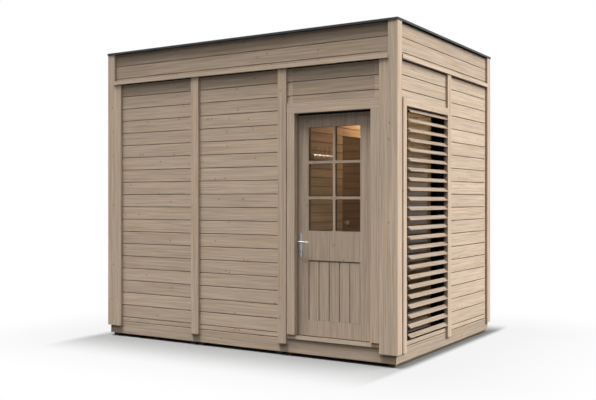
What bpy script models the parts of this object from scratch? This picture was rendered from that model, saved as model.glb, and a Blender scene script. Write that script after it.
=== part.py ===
"""Outdoor sauna cabin: timber wall panels under a flat roof, with a vestibule behind a glazed door.

Metres, +Z up.  The origin is the centre of the footprint, on the ground.  The door side faces -Y
and the louvred window is in the +X side.  Distances called "from the corner" run along a wall from
the outer face of the nearest corner board.
"""
import math

import bmesh
import bpy
from mathutils import Matrix, Vector

# Gap left between pieces that touch
FIT = 0.0003

# Footprint over the faces of the corner boards
WIDTH = 2.800
DEPTH = 1.954

# Wall panels
WALL_THICKNESS = 0.075
WALL_HEIGHT = 2.0635

# Base: bearers on the ground, the floor on them and a plinth board round both
BEARER_WIDTH = 0.048
BEARER_HEIGHT = 0.045
BEARER_FROM_JOINT = 0.044
FLOOR_THICKNESS = 0.087
PLINTH_THICKNESS = 0.020
PLINTH_CLEARANCE = 0.024

# Flat trim boards nailed over the wall boards
TRIM_WIDTH = 0.075
TRIM_THICKNESS = 0.018
TRIM_BOTTOM = 0.092
EDGE_EASE = 0.002

# Fascia, its drip batten and the roof
FASCIA_HEIGHT = 0.264
FASCIA_THICKNESS = 0.030
DRIP_HEIGHT = 0.029
DRIP_PROUD = 0.008
EDGING_THICKNESS = 0.018
EDGING_WIDTH = 0.070
EDGING_OVERHANG = 0.004
ROOF_THICKNESS = 0.160
ROOF_FALL = 0.030

# Doorway in the front wall, measured between the casing boards
DOORWAY_FROM_CORNER = 0.218
DOORWAY_WIDTH = 0.637
DOORWAY_BOTTOM = 0.166
DOORWAY_TOP = 1.844
CASING_WIDTH = 0.072
CASING_HEAD_HEIGHT = 0.080
CASING_TO_BATTEN = 0.00825
DOOR_FRAME_THICKNESS = 0.030
DOOR_STOP = 0.012
DOOR_SILL_PROUD = 0.009

# Glazed door leaf
DOOR_CLEARANCE = 0.005
DOOR_LOCK_CLEARANCE = 0.007
DOOR_THICKNESS = 0.036
DOOR_RECESS = 0.038
DOOR_STILE = 0.0925
DOOR_TOP_RAIL = 0.103
DOOR_BOTTOM_RAIL = 0.120
DOOR_PANEL_HEIGHT = 0.449
DOOR_GLAZING_HEIGHT = 0.779
DOOR_BAR_WIDTH = 0.020
DOOR_UPPER_BAR_DROP = 0.266
DOOR_LOWER_BAR_RISE = 0.246
DOOR_PANEL_THICKNESS = 0.018
DOOR_PANEL_BOARDS = 5
DOOR_GROOVE_WIDTH = 0.004
DOOR_GROOVE_DEPTH = 0.003
PANE_CORNER_RADIUS = 0.010
DOOR_GLASS_THICKNESS = 0.006
GLASS_REBATE = 0.006

# Lever handle on a pointed back plate
PLATE_WIDTH = 0.028
PLATE_HEIGHT = 0.197
PLATE_THICKNESS = 0.003
PLATE_FROM_DOOR_EDGE = 0.023
PLATE_BOTTOM_ABOVE_DOOR = 0.582
SPINDLE_ABOVE_DOOR = 0.709
LEVER_RADIUS = 0.0075
LEVER_TIP_RATIO = 0.75
LEVER_REACH = 0.036
LEVER_BEND_RADIUS = 0.014
LEVER_LENGTH = 0.097
LEVER_DROOP = 0.006
SPINDLE_RADIUS = 0.004
SPINDLE_CLEARANCE = 0.001

# Door hinges
HINGE_RADIUS = 0.006
HINGE_LENGTH = 0.080
HINGE_FLAG_THICKNESS = 0.003
HINGE_FROM_DOOR_END = 0.220

# Louvred window in the right wall
WINDOW_FROM_CORNER = 0.158
WINDOW_BOTTOM = 0.166
WINDOW_TOP = 1.866
WINDOW_STILE_WIDTH = 0.060
WINDOW_HEAD_HEIGHT = 0.057
WINDOW_FRAME_THICKNESS = 0.012
WINDOW_FRAME_RECESS = 0.034
WINDOW_FRAME_INSIDE = 0.007
WINDOW_GLASS_THICKNESS = 0.006
WINDOW_GLASS_EDGE = 0.004

# Louvre slats and the two strips that carry them
SLAT_PITCH = 0.0694
SLAT_WIDTH = 0.032
SLAT_THICKNESS = 0.009
SLAT_EASE = 0.0015
SLAT_TILT_DEG = 45.0
FIRST_SLAT_BOTTOM = 0.1915
SLATS_FROM_CORNER = 0.230
FRONT_CARRIER_WIDTH = 0.082
REAR_CARRIER_WIDTH = 0.020
CARRIER_THICKNESS = 0.014

# Partition between the vestibule and the sauna room, with its glass door
PARTITION_THICKNESS = 0.058
SAUNA_DOORWAY_FROM_BACK = 0.365
SAUNA_DOORWAY_WIDTH = 0.624
SAUNA_DOORWAY_TOP = 1.740
SAUNA_DOOR_THICKNESS = 0.008
SAUNA_DOOR_INSET = 0.002
SAUNA_DOOR_FOOT_GAP = 0.010
SAUNA_HINGE_RADIUS = 0.006
SAUNA_HINGE_LENGTH = 0.070
SAUNA_FLAG_THICKNESS = 0.003
SAUNA_FLAG_WIDTH = 0.040
SAUNA_HINGE_FROM_END = 0.200
KNOB_RADIUS = 0.020
KNOB_NECK_RADIUS = 0.010
KNOB_LENGTH = 0.034
KNOB_HEAD_LENGTH = 0.018
KNOB_ROUNDING = 0.006
KNOB_FROM_EDGE = 0.045
KNOB_ABOVE_FLOOR = 0.860

# Coat rail on the vestibule side of the partition
COAT_RAIL_LENGTH = 0.340
COAT_RAIL_HEIGHT = 0.050
COAT_RAIL_THICKNESS = 0.006
COAT_RAIL_FROM_DOORWAY = 0.185
COAT_RAIL_BOTTOM = 1.515
HOOK_COUNT = 5
HOOK_RADIUS = 0.004
HOOK_REACH = 0.034
HOOK_BEND_RADIUS = 0.020
HOOK_TIP = 0.012

# Places that follow from the sizes above
FLOOR_TOP = BEARER_HEIGHT + FIT + FLOOR_THICKNESS
WALL_BOTTOM = FLOOR_TOP + FIT
WALL_TOP = WALL_BOTTOM + WALL_HEIGHT
FASCIA_BOTTOM = WALL_TOP + FIT
FASCIA_TOP = FASCIA_BOTTOM + FASCIA_HEIGHT
EDGING_BOTTOM = FASCIA_TOP + FIT
WALL_X = WIDTH / 2 - TRIM_THICKNESS - FIT
WALL_Y = DEPTH / 2 - TRIM_THICKNESS - FIT
INNER_X = WALL_X - WALL_THICKNESS
INNER_Y = WALL_Y - WALL_THICKNESS
DOORWAY_RIGHT = WIDTH / 2 - DOORWAY_FROM_CORNER
DOORWAY_LEFT = DOORWAY_RIGHT - DOORWAY_WIDTH
PANEL_JOINT = DOORWAY_LEFT - CASING_WIDTH - CASING_TO_BATTEN - TRIM_WIDTH / 2
DOOR_HINGE_Y = -DEPTH / 2 + DOOR_RECESS - HINGE_RADIUS - FIT
DOOR_HINGE_X = DOORWAY_RIGHT - DOOR_CLEARANCE - FIT - HINGE_RADIUS / 3
WINDOW_FRONT = -DEPTH / 2 + WINDOW_FROM_CORNER
WINDOW_REAR = -TRIM_WIDTH / 2
PARTITION_FACE = PANEL_JOINT
SAUNA_DOORWAY_REAR = DEPTH / 2 - SAUNA_DOORWAY_FROM_BACK
SAUNA_DOORWAY_FRONT = SAUNA_DOORWAY_REAR - SAUNA_DOORWAY_WIDTH
SAUNA_GLASS_FACE = PARTITION_FACE - SAUNA_DOOR_INSET
SAUNA_HINGE_X = SAUNA_GLASS_FACE + SAUNA_HINGE_RADIUS + FIT
SAUNA_HINGE_Y = SAUNA_DOORWAY_REAR - SAUNA_HINGE_RADIUS - FIT

# Finishes: sRGB colour, roughness and metallic value
STAINED_SPRUCE = ("#B9A68F", 0.75, 0.0)
SHADED_SPRUCE = ("#8E7F6E", 0.80, 0.0)
NATURAL_SPRUCE = ("#D2A06A", 0.65, 0.0)
GREEN_SPRUCE = ("#6E6656", 0.85, 0.0)
ROOF_FELT = ("#3A3B3D", 0.90, 0.0)
BLACK_METAL = ("#1E1F21", 0.50, 0.0)
SATIN_STEEL = ("#BFC1C3", 0.35, 1.0)
CLEAR_GLASS = ("#DCE4E2", 0.05, 0.0)
BRONZE_GLASS = ("#6B4A32", 0.08, 0.0)


def clear_scene():
    """Remove every object that the open file holds."""
    for existing in list(bpy.data.objects):
        bpy.data.objects.remove(existing, do_unlink=True)


def linear(hex_colour):
    """Turn an sRGB hex colour into linear RGBA values."""
    channels = [int(hex_colour[i:i + 2], 16) / 255 for i in (1, 3, 5)]
    values = [c / 12.92 if c <= 0.04045 else ((c + 0.055) / 1.055) ** 2.4 for c in channels]
    return (*values, 1.0)


def give_finish(obj, finish):
    """Give an object a Principled material of its own, named after it."""
    colour, roughness, metallic = finish
    material = bpy.data.materials.new(obj.name + "_finish")
    material.use_nodes = True
    shader = material.node_tree.nodes["Principled BSDF"]
    shader.inputs["Base Color"].default_value = linear(colour)
    shader.inputs["Roughness"].default_value = roughness
    shader.inputs["Metallic"].default_value = metallic
    obj.data.materials.clear()
    obj.data.materials.append(material)


def add_object(name, data, finish, location=(0, 0, 0)):
    """Link new data into the scene under its node name."""
    obj = bpy.data.objects.new(name, data)
    obj.location = location
    bpy.context.scene.collection.objects.link(obj)
    give_finish(obj, finish)
    return obj


def box(name, low, high, finish):
    """A board or slab between two opposite corners, placed at its centre."""
    low, high = Vector(low), Vector(high)
    mesh = bpy.data.meshes.new(name)
    shape = bmesh.new()
    bmesh.ops.create_cube(shape, size=1.0)
    bmesh.ops.scale(shape, vec=high - low, verts=shape.verts)
    shape.to_mesh(mesh)
    shape.free()
    return add_object(name, mesh, finish, (low + high) / 2)


def extrude_outline(name, outline, direction, finish, location=(0, 0, 0)):
    """A prism: a closed outline of 3-D points pushed along a direction."""
    mesh = bpy.data.meshes.new(name)
    shape = bmesh.new()
    face = shape.faces.new([shape.verts.new(point) for point in outline])
    pushed = bmesh.ops.extrude_face_region(shape, geom=[face])
    moved = [item for item in pushed["geom"] if isinstance(item, bmesh.types.BMVert)]
    bmesh.ops.translate(shape, vec=direction, verts=moved)
    bmesh.ops.recalc_face_normals(shape, faces=shape.faces)
    shape.to_mesh(mesh)
    shape.free()
    return add_object(name, mesh, finish, location)


def cylinder(name, start, end, radius, finish, sides=24):
    """A round bar between two points, smooth along its side."""
    start, end = Vector(start), Vector(end)
    mesh = bpy.data.meshes.new(name)
    shape = bmesh.new()
    bmesh.ops.create_cone(shape, cap_ends=True, segments=sides, radius1=radius, radius2=radius,
                          depth=(end - start).length)
    shape.to_mesh(mesh)
    shape.free()
    mesh.shade_smooth()
    mesh.set_sharp_from_angle(angle=math.radians(40))
    bar = add_object(name, mesh, finish, (start + end) / 2)
    bar.rotation_euler = (end - start).to_track_quat("Z", "Y").to_euler()
    return bar


def ease_edges(obj):
    """Take the sharpness off the outward edges of a planed board."""
    shape = bmesh.new()
    shape.from_mesh(obj.data)
    weight = shape.edges.layers.float.new("bevel_weight_edge")
    for edge in shape.edges:
        edge[weight] = 1.0 if edge.calc_face_angle_signed() > math.radians(30) else 0.0
    shape.to_mesh(obj.data)
    shape.free()
    bevel = obj.modifiers.new("eased_edges", "BEVEL")
    bevel.width = EDGE_EASE
    bevel.segments = 1
    bevel.limit_method = "WEIGHT"
    return obj


def bent_rod(name, points, radius, finish, location=(0, 0, 0), tip_ratio=1.0):
    """A round rod along a path, thinning evenly to its tip, as a closed mesh."""
    path = bpy.data.curves.new(name, "CURVE")
    path.dimensions = "3D"
    path.bevel_depth = radius
    path.bevel_resolution = 3
    path.use_fill_caps = True
    line = path.splines.new("POLY")
    line.points.add(len(points) - 1)
    for number, (point, place) in enumerate(zip(line.points, points)):
        point.co = (*place, 1)
        point.radius = 1 - (1 - tip_ratio) * number / (len(points) - 1)
    guide = add_object(name + "_path", path, finish)
    bpy.context.view_layer.update()
    mesh = bpy.data.meshes.new_from_object(guide.evaluated_get(bpy.context.evaluated_depsgraph_get()))
    bpy.data.objects.remove(guide, do_unlink=True)
    shape = bmesh.new()
    shape.from_mesh(mesh)
    bmesh.ops.remove_doubles(shape, verts=shape.verts, dist=1e-6)
    bmesh.ops.recalc_face_normals(shape, faces=shape.faces)
    shape.to_mesh(mesh)
    shape.free()
    mesh.shade_smooth()
    mesh.set_sharp_from_angle(angle=math.radians(40))
    return add_object(name, mesh, finish, location)


def turned(name, profile, finish, location, sides=24):
    """A shape turned about X: the profile lists (along, radius) and starts and ends on the axis."""
    mesh = bpy.data.meshes.new(name)
    shape = bmesh.new()
    verts = [shape.verts.new((along, radius, 0)) for along, radius in profile]
    edges = [shape.edges.new(pair) for pair in zip(verts, verts[1:])]
    bmesh.ops.spin(shape, geom=verts + edges, axis=(1, 0, 0), cent=(0, 0, 0), angle=2 * math.pi, steps=sides,
                   use_merge=True)
    bmesh.ops.remove_doubles(shape, verts=shape.verts, dist=1e-6)
    bmesh.ops.recalc_face_normals(shape, faces=shape.faces)
    shape.to_mesh(mesh)
    shape.free()
    mesh.shade_smooth()
    mesh.set_sharp_from_angle(angle=math.radians(40))
    return add_object(name, mesh, finish, location)


def combine(obj, tools, operation):
    """Union or cut other objects into one, then remove them."""
    for number, tool in enumerate(tools):
        step = obj.modifiers.new(f"{operation.lower()}_{number}", "BOOLEAN")
        step.operation = operation
        step.object = tool
    bpy.context.view_layer.update()
    graph = bpy.context.evaluated_depsgraph_get()
    result = bpy.data.meshes.new_from_object(obj.evaluated_get(graph))
    obj.modifiers.clear()
    obj.data = result
    for tool in tools:
        bpy.data.objects.remove(tool, do_unlink=True)
    return obj


def hang_on(axis_name, location, pieces):
    """Parent pieces to an empty on their joint's axis, where they already are."""
    axis = bpy.data.objects.new(axis_name, None)
    axis.location = location
    bpy.context.scene.collection.objects.link(axis)
    for piece in pieces:
        piece.parent = axis
        piece.matrix_parent_inverse = Matrix.Translation(location).inverted()
    return axis


def inset(low, high):
    """Both ends of a stretch moved in by half a fit, so that neighbours keep one fit between them."""
    return low + FIT / 2, high - FIT / 2


def build_base():
    """Bearers on the ground, the floor across them and the plinth boards round both."""
    reach_x = WALL_X - PLINTH_THICKNESS - FIT
    reach_y = WALL_Y - PLINTH_THICKNESS - FIT
    outer = reach_x - BEARER_WIDTH / 2
    lines = [side * place for side in (-1, 1) for place in
             (outer, PANEL_JOINT + BEARER_FROM_JOINT, PANEL_JOINT - BEARER_FROM_JOINT)]
    for number, x in enumerate(sorted(lines), start=1):
        box(f"bearer_{number}", (x - BEARER_WIDTH / 2, -reach_y, 0),
            (x + BEARER_WIDTH / 2, reach_y, BEARER_HEIGHT), GREEN_SPRUCE)
    box("floor", (-reach_x, -reach_y, BEARER_HEIGHT + FIT), (reach_x, reach_y, FLOOR_TOP), NATURAL_SPRUCE)
    for name, side in (("front", -1), ("back", 1)):
        y_low, y_high = sorted((side * WALL_Y, side * (WALL_Y - PLINTH_THICKNESS)))
        box(f"plinth_{name}", (-WALL_X, y_low, PLINTH_CLEARANCE), (WALL_X, y_high, FLOOR_TOP),
            SHADED_SPRUCE)
    for name, side in (("left", -1), ("right", 1)):
        x_low, x_high = sorted((side * WALL_X, side * (WALL_X - PLINTH_THICKNESS)))
        box(f"plinth_{name}", (x_low, -reach_y, PLINTH_CLEARANCE), (x_high, reach_y, FLOOR_TOP),
            SHADED_SPRUCE)


def wall_slab(name, x_range, y_range, finish, z_range=(WALL_BOTTOM, WALL_TOP)):
    """One wall panel as a slab."""
    return box(name, (x_range[0], y_range[0], z_range[0]), (x_range[1], y_range[1], z_range[1]), finish)


def build_front_wall():
    """Panels of the door side, split beside and over the doorway."""
    depth = (-WALL_Y, -INNER_Y)
    frame_left = DOORWAY_LEFT - DOOR_FRAME_THICKNESS
    frame_right = DOORWAY_RIGHT + DOOR_FRAME_THICKNESS
    frame_top = DOORWAY_TOP + DOOR_FRAME_THICKNESS
    stretches = {
        "front_wall_left": (-WALL_X, -PANEL_JOINT),
        "front_wall_middle": (-PANEL_JOINT, PANEL_JOINT),
        "front_wall_beside_door_left": (PANEL_JOINT, frame_left),
        "front_wall_beside_door_right": (frame_right, WALL_X),
    }
    for name, (low, high) in stretches.items():
        wall_slab(name, inset(low, high), depth, STAINED_SPRUCE)
    wall_slab("front_wall_over_door", inset(frame_left, frame_right), depth, STAINED_SPRUCE,
              (frame_top + FIT, WALL_TOP))


def build_other_walls():
    """The window side, the closed back and the closed left side."""
    right = wall_slab("right_wall_front", (INNER_X, WALL_X), inset(-INNER_Y, 0), STAINED_SPRUCE)
    opening = box("window_cutter", (INNER_X - WALL_THICKNESS, WINDOW_FRONT, WINDOW_BOTTOM),
                  (WALL_X + WALL_THICKNESS, WINDOW_REAR, WINDOW_TOP), STAINED_SPRUCE)
    combine(right, [opening], "DIFFERENCE")
    wall_slab("right_wall_rear", (INNER_X, WALL_X), inset(0, INNER_Y), STAINED_SPRUCE)
    wall_slab("left_wall", (-WALL_X, -INNER_X), inset(-INNER_Y, INNER_Y), STAINED_SPRUCE)
    wall_slab("back_wall", inset(-WALL_X, WALL_X), (INNER_Y, WALL_Y), STAINED_SPRUCE)


def corner_board(name, side_x, side_y):
    """An L of two boards wrapped round one corner of the walls."""
    outer_x, outer_y = side_x * WIDTH / 2, side_y * DEPTH / 2
    in_x, in_y = -side_x, -side_y
    legs = [(0, 0), (TRIM_WIDTH, 0), (TRIM_WIDTH, TRIM_THICKNESS), (TRIM_THICKNESS, TRIM_THICKNESS),
            (TRIM_THICKNESS, TRIM_WIDTH), (0, TRIM_WIDTH)]
    outline = [(in_x * along, in_y * across, 0) for along, across in legs]
    rise = FASCIA_TOP - TRIM_BOTTOM
    board = extrude_outline(name, outline, (0, 0, rise), STAINED_SPRUCE, (outer_x, outer_y, TRIM_BOTTOM))
    return ease_edges(board)


def trim_on_front(name, x_low, x_high, z_low, z_high, side=-1):
    """A flat board on the front or back wall."""
    y_low, y_high = sorted((side * DEPTH / 2, side * (DEPTH / 2 - TRIM_THICKNESS)))
    return ease_edges(box(name, (x_low, y_low, z_low), (x_high, y_high, z_high), STAINED_SPRUCE))


def trim_on_side(name, y_low, y_high, z_low, z_high, side=1):
    """A flat board on the right or left wall."""
    x_low, x_high = sorted((side * WIDTH / 2, side * (WIDTH / 2 - TRIM_THICKNESS)))
    return ease_edges(box(name, (x_low, y_low, z_low), (x_high, y_high, z_high), STAINED_SPRUCE))


def build_trims():
    """Corner boards, the battens over the panel joints and the boards beside the corners."""
    for name, side_x, side_y in (("front_left", -1, -1), ("front_right", 1, -1),
                                 ("back_left", -1, 1), ("back_right", 1, 1)):
        corner_board(f"corner_board_{name}", side_x, side_y)
    half = TRIM_WIDTH / 2
    heights = (TRIM_BOTTOM, WALL_TOP)
    for name, centre in (("left", -PANEL_JOINT), ("right", PANEL_JOINT)):
        trim_on_front(f"front_batten_{name}", centre - half, centre + half, *heights)
        trim_on_front(f"back_batten_{name}", centre - half, centre + half, *heights, side=1)
    trim_on_side("right_batten", -half, half, *heights)
    trim_on_side("left_batten", -half, half, *heights, side=-1)
    corner = WIDTH / 2 - TRIM_WIDTH - FIT
    trim_on_front("front_stile_left", -corner, -corner + TRIM_WIDTH, *heights)
    casing_right = DOORWAY_RIGHT + CASING_WIDTH + FIT
    trim_on_front("front_stile_right", casing_right, corner, *heights)


def build_fascia_and_roof():
    """Fascia boards with their drip batten between the corner boards, the roof deck and its edging."""
    between_x = WIDTH / 2 - TRIM_WIDTH - FIT
    between_y = DEPTH / 2 - TRIM_WIDTH - FIT
    front = DRIP_PROUD + TRIM_THICKNESS + FIT
    profile = [(front, 0), (front, DRIP_HEIGHT), (0, DRIP_HEIGHT), (0, FASCIA_HEIGHT),
               (-FASCIA_THICKNESS, FASCIA_HEIGHT), (-FASCIA_THICKNESS, 0)]
    for name, side in (("front", -1), ("back", 1)):
        outline = [(0, side * out, up) for out, up in profile]
        ease_edges(extrude_outline(f"fascia_{name}", outline, (2 * between_x, 0, 0), STAINED_SPRUCE,
                                   (-between_x, side * WALL_Y, FASCIA_BOTTOM)))
    for name, side in (("left", -1), ("right", 1)):
        outline = [(side * out, 0, up) for out, up in profile]
        ease_edges(extrude_outline(f"fascia_{name}", outline, (0, 2 * between_y, 0), STAINED_SPRUCE,
                                   (side * WALL_X, -between_y, FASCIA_BOTTOM)))
    deck_x = WALL_X - FASCIA_THICKNESS - FIT
    deck_y = WALL_Y - FASCIA_THICKNESS - FIT
    slope = [(0, -deck_y, 0), (0, deck_y, 0), (0, deck_y, ROOF_THICKNESS - ROOF_FALL),
             (0, -deck_y, ROOF_THICKNESS)]
    extrude_outline("roof_deck", slope, (2 * deck_x, 0, 0), ROOF_FELT, (-deck_x, 0, FASCIA_BOTTOM))
    reach_x, reach_y = WIDTH / 2 + EDGING_OVERHANG, DEPTH / 2 + EDGING_OVERHANG
    top = EDGING_BOTTOM + EDGING_THICKNESS
    edging = box("roof_edging", (-reach_x, -reach_y, EDGING_BOTTOM), (reach_x, reach_y, top), BLACK_METAL)
    well_x, well_y = reach_x - EDGING_WIDTH, reach_y - EDGING_WIDTH
    well = box("well_cutter", (-well_x, -well_y, EDGING_BOTTOM - EDGING_THICKNESS),
               (well_x, well_y, top + EDGING_THICKNESS), BLACK_METAL)
    combine(edging, [well], "DIFFERENCE")


def build_door_surround():
    """Casing boards on the wall and the frame that the door leaf shuts into."""
    legs = [(DOORWAY_LEFT - CASING_WIDTH, DOORWAY_BOTTOM), (DOORWAY_LEFT, DOORWAY_BOTTOM),
            (DOORWAY_LEFT, DOORWAY_TOP), (DOORWAY_RIGHT, DOORWAY_TOP), (DOORWAY_RIGHT, DOORWAY_BOTTOM),
            (DOORWAY_RIGHT + CASING_WIDTH, DOORWAY_BOTTOM),
            (DOORWAY_RIGHT + CASING_WIDTH, DOORWAY_TOP + CASING_HEAD_HEIGHT),
            (DOORWAY_LEFT - CASING_WIDTH, DOORWAY_TOP + CASING_HEAD_HEIGHT)]
    ease_edges(extrude_outline("door_casing", [(x, 0, z) for x, z in legs], (0, TRIM_THICKNESS, 0),
                               STAINED_SPRUCE, (0, -DEPTH / 2, 0)))
    left, right = inset(DOORWAY_LEFT - DOOR_FRAME_THICKNESS, DOORWAY_RIGHT + DOOR_FRAME_THICKNESS)
    sill_top = DOORWAY_BOTTOM - DOOR_CLEARANCE
    frame = box("door_frame", (left, -WALL_Y, WALL_BOTTOM),
                (right, -INNER_Y, DOORWAY_TOP + DOOR_FRAME_THICKNESS), STAINED_SPRUCE)
    sill_nose = box("sill_nose", (left, -WALL_Y - DOOR_SILL_PROUD, WALL_BOTTOM),
                    (right, -WALL_Y + FIT, sill_top), STAINED_SPRUCE)
    combine(frame, [sill_nose], "UNION")
    way = box("way_cutter", (DOORWAY_LEFT + DOOR_STOP, -DEPTH, sill_top),
              (DOORWAY_RIGHT - DOOR_STOP, 0, DOORWAY_TOP - DOOR_STOP), STAINED_SPRUCE)
    stop_face = -DEPTH / 2 + DOOR_RECESS + DOOR_THICKNESS + DOOR_CLEARANCE
    rebate = box("rebate_cutter", (DOORWAY_LEFT, -DEPTH, sill_top),
                 (DOORWAY_RIGHT, stop_face, DOORWAY_TOP), STAINED_SPRUCE)
    combine(frame, [way, rebate], "DIFFERENCE")


def build_door():
    """The outer door: stiles and rails with six panes over a boarded panel, and its lever."""
    left, right = DOORWAY_LEFT + DOOR_LOCK_CLEARANCE, DOORWAY_RIGHT - DOOR_CLEARANCE
    bottom, top = DOORWAY_BOTTOM, DOORWAY_TOP - DOOR_CLEARANCE
    face = -DEPTH / 2 + DOOR_RECESS
    back = face + DOOR_THICKNESS
    leaf = box("door_leaf", (left, face, bottom), (right, back, top), STAINED_SPRUCE)
    glass_left, glass_right = left + DOOR_STILE, right - DOOR_STILE
    glass_top = top - DOOR_TOP_RAIL
    glass_bottom = glass_top - DOOR_GLAZING_HEIGHT
    half_bar = DOOR_BAR_WIDTH / 2
    centre = (glass_left + glass_right) / 2
    upper_bar, lower_bar = glass_top - DOOR_UPPER_BAR_DROP, glass_bottom + DOOR_LOWER_BAR_RISE
    columns = ((glass_left, centre - half_bar), (centre + half_bar, glass_right))
    rows = ((glass_bottom, lower_bar - half_bar),
            (lower_bar + half_bar, upper_bar - half_bar),
            (upper_bar + half_bar, glass_top))
    through = DOOR_THICKNESS * 3
    cutters = [extrude_outline("pane_cutter", rounded_rectangle(*column, *row, PANE_CORNER_RADIUS),
                               (0, through, 0), STAINED_SPRUCE, (0, face - DOOR_THICKNESS, 0))
               for column in columns for row in rows]
    groove_y = face + (DOOR_THICKNESS - DOOR_GLASS_THICKNESS) / 2
    groove_low = (glass_left - GLASS_REBATE, groove_y - FIT, glass_bottom - GLASS_REBATE)
    groove_high = (glass_right + GLASS_REBATE, groove_y + DOOR_GLASS_THICKNESS + FIT,
                   glass_top + GLASS_REBATE)
    cutters.append(box("groove_cutter", groove_low, groove_high, STAINED_SPRUCE))
    cutters += panel_cutters(glass_left, glass_right, bottom + DOOR_BOTTOM_RAIL, face, back)
    handle_x, spindle_z = left + PLATE_FROM_DOOR_EDGE, bottom + SPINDLE_ABOVE_DOOR
    cutters.append(spindle_bore(handle_x, (face + back) / 2, spindle_z))
    combine(leaf, cutters, "DIFFERENCE")
    edge = GLASS_REBATE - FIT
    glass = box("door_glass", (glass_left - edge, groove_y, glass_bottom - edge),
                (glass_right + edge, groove_y + DOOR_GLASS_THICKNESS, glass_top + edge), CLEAR_GLASS)
    plate_z = bottom + PLATE_BOTTOM_ABOVE_DOOR + PLATE_HEIGHT / 2
    plates = [build_handle_plate("handle_plate", handle_x, face - FIT - PLATE_THICKNESS, plate_z, spindle_z),
              build_handle_plate("handle_plate_inside", handle_x, back + FIT, plate_z, spindle_z)]
    lever = build_lever(handle_x, face, back, spindle_z)
    axis = hang_on("door_hinge_axis", (DOOR_HINGE_X, DOOR_HINGE_Y, bottom), [leaf, glass] + plates)
    turning = hang_on("lever_axis", lever.location.copy(), [lever])
    turning.parent = axis
    turning.matrix_parent_inverse = Matrix.Translation(axis.location).inverted()
    for name, z in (("bottom", bottom + HINGE_FROM_DOOR_END), ("top", top - HINGE_FROM_DOOR_END)):
        build_door_hinge(f"door_hinge_{name}", z)


def lancet(width, height, steps=6):
    """Outline of a plate that is pointed at both ends, each side of a point one arc."""
    half = width / 2
    radius = width
    sweep = math.acos((radius - half) / radius)
    shoulder = height / 2 - radius * math.sin(sweep)
    right_arc = [(half - radius + radius * math.cos(sweep * i / steps),
                  shoulder + radius * math.sin(sweep * i / steps)) for i in range(steps + 1)]
    left_arc = [(-x, z) for x, z in reversed(right_arc[:-1])]
    upper = right_arc + left_arc
    lower = [(x, -z) for x, z in reversed(upper[1:-1])]
    ends = [(-half, -shoulder)] if shoulder > 0 else []
    return upper + ends + lower + ([(half, -shoulder)] if shoulder > 0 else [])


def rounded_rectangle(x_low, x_high, z_low, z_high, radius, steps=3):
    """Outline of an upright rectangle with round corners."""
    corners = ((x_high - radius, z_high - radius, 0), (x_low + radius, z_high - radius, 90),
               (x_low + radius, z_low + radius, 180), (x_high - radius, z_low + radius, 270))
    arcs = [(x, z, math.radians(first + 90 * step / steps))
            for x, z, first in corners for step in range(steps + 1)]
    return [(x + radius * math.cos(angle), 0, z + radius * math.sin(angle)) for x, z, angle in arcs]


def panel_cutters(x_low, x_high, z_low, face, back):
    """Cutters that sink both faces of the lower panel and groove its outer face into boards."""
    sink = (DOOR_THICKNESS - DOOR_PANEL_THICKNESS) / 2
    z_high = z_low + DOOR_PANEL_HEIGHT
    cutters = [box("panel_cutter", (x_low, y_low, z_low), (x_high, y_high, z_high), STAINED_SPRUCE)
               for y_low, y_high in ((face - sink, face + sink), (back - sink, back + sink))]
    board = (x_high - x_low) / DOOR_PANEL_BOARDS
    half = DOOR_GROOVE_WIDTH / 2
    for number in range(1, DOOR_PANEL_BOARDS):
        x = x_low + board * number
        vee = [(x - half, 0, z_low), (x + half, 0, z_low), (x, DOOR_GROOVE_DEPTH, z_low)]
        cutters.append(extrude_outline("groove_cutter", vee, (0, 0, DOOR_PANEL_HEIGHT), STAINED_SPRUCE,
                                       (0, face + sink - FIT, 0)))
    return cutters


def spindle_bore(x, y, z):
    """Cutter for the hole that the lever's spindle turns in."""
    reach = DOOR_THICKNESS
    return cylinder("bore_cutter", (x, y - reach, z), (x, y + reach, z), SPINDLE_RADIUS + SPINDLE_CLEARANCE,
                    SATIN_STEEL)


def build_handle_plate(name, x, y, z, spindle_z):
    """A pointed back plate with its spindle hole."""
    outline = [(px, 0, pz) for px, pz in lancet(PLATE_WIDTH, PLATE_HEIGHT)]
    plate = extrude_outline(name, outline, (0, PLATE_THICKNESS, 0), SATIN_STEEL, (x, y, z))
    return combine(plate, [spindle_bore(x, y, spindle_z)], "DIFFERENCE")


def build_lever(x, face, back, z):
    """Both lever handles on one spindle, with the origin on the axis they turn about."""
    outside = -FIT * 2 - PLATE_THICKNESS
    inside = back - face - outside
    bend = LEVER_BEND_RADIUS
    quarter = [math.pi / 2 * i / 6 for i in range(7)]
    turn = [(bend * (1 - math.cos(a)), bend - LEVER_REACH - bend * math.sin(a), 0) for a in quarter]
    path = [(0, 0, 0)] + turn + [(LEVER_LENGTH * 0.6, -LEVER_REACH, -LEVER_DROOP * 0.3),
                                 (LEVER_LENGTH, -LEVER_REACH, -LEVER_DROOP)]
    start = Vector((x, face, z))
    outer = [(px, outside + py, pz) for px, py, pz in path]
    inner = [(px, inside - py, pz) for px, py, pz in path]
    lever = bent_rod("lever", outer, LEVER_RADIUS, SATIN_STEEL, start, LEVER_TIP_RATIO)
    twin = bent_rod("inner_lever", inner, LEVER_RADIUS, SATIN_STEEL, start, LEVER_TIP_RATIO)
    overlap = Vector((0, LEVER_RADIUS, 0))
    spindle = cylinder("spindle", start + Vector((0, outside, 0)) - overlap,
                       start + Vector((0, inside, 0)) + overlap, SPINDLE_RADIUS, SATIN_STEEL)
    return combine(lever, [spindle, twin], "UNION")


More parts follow.
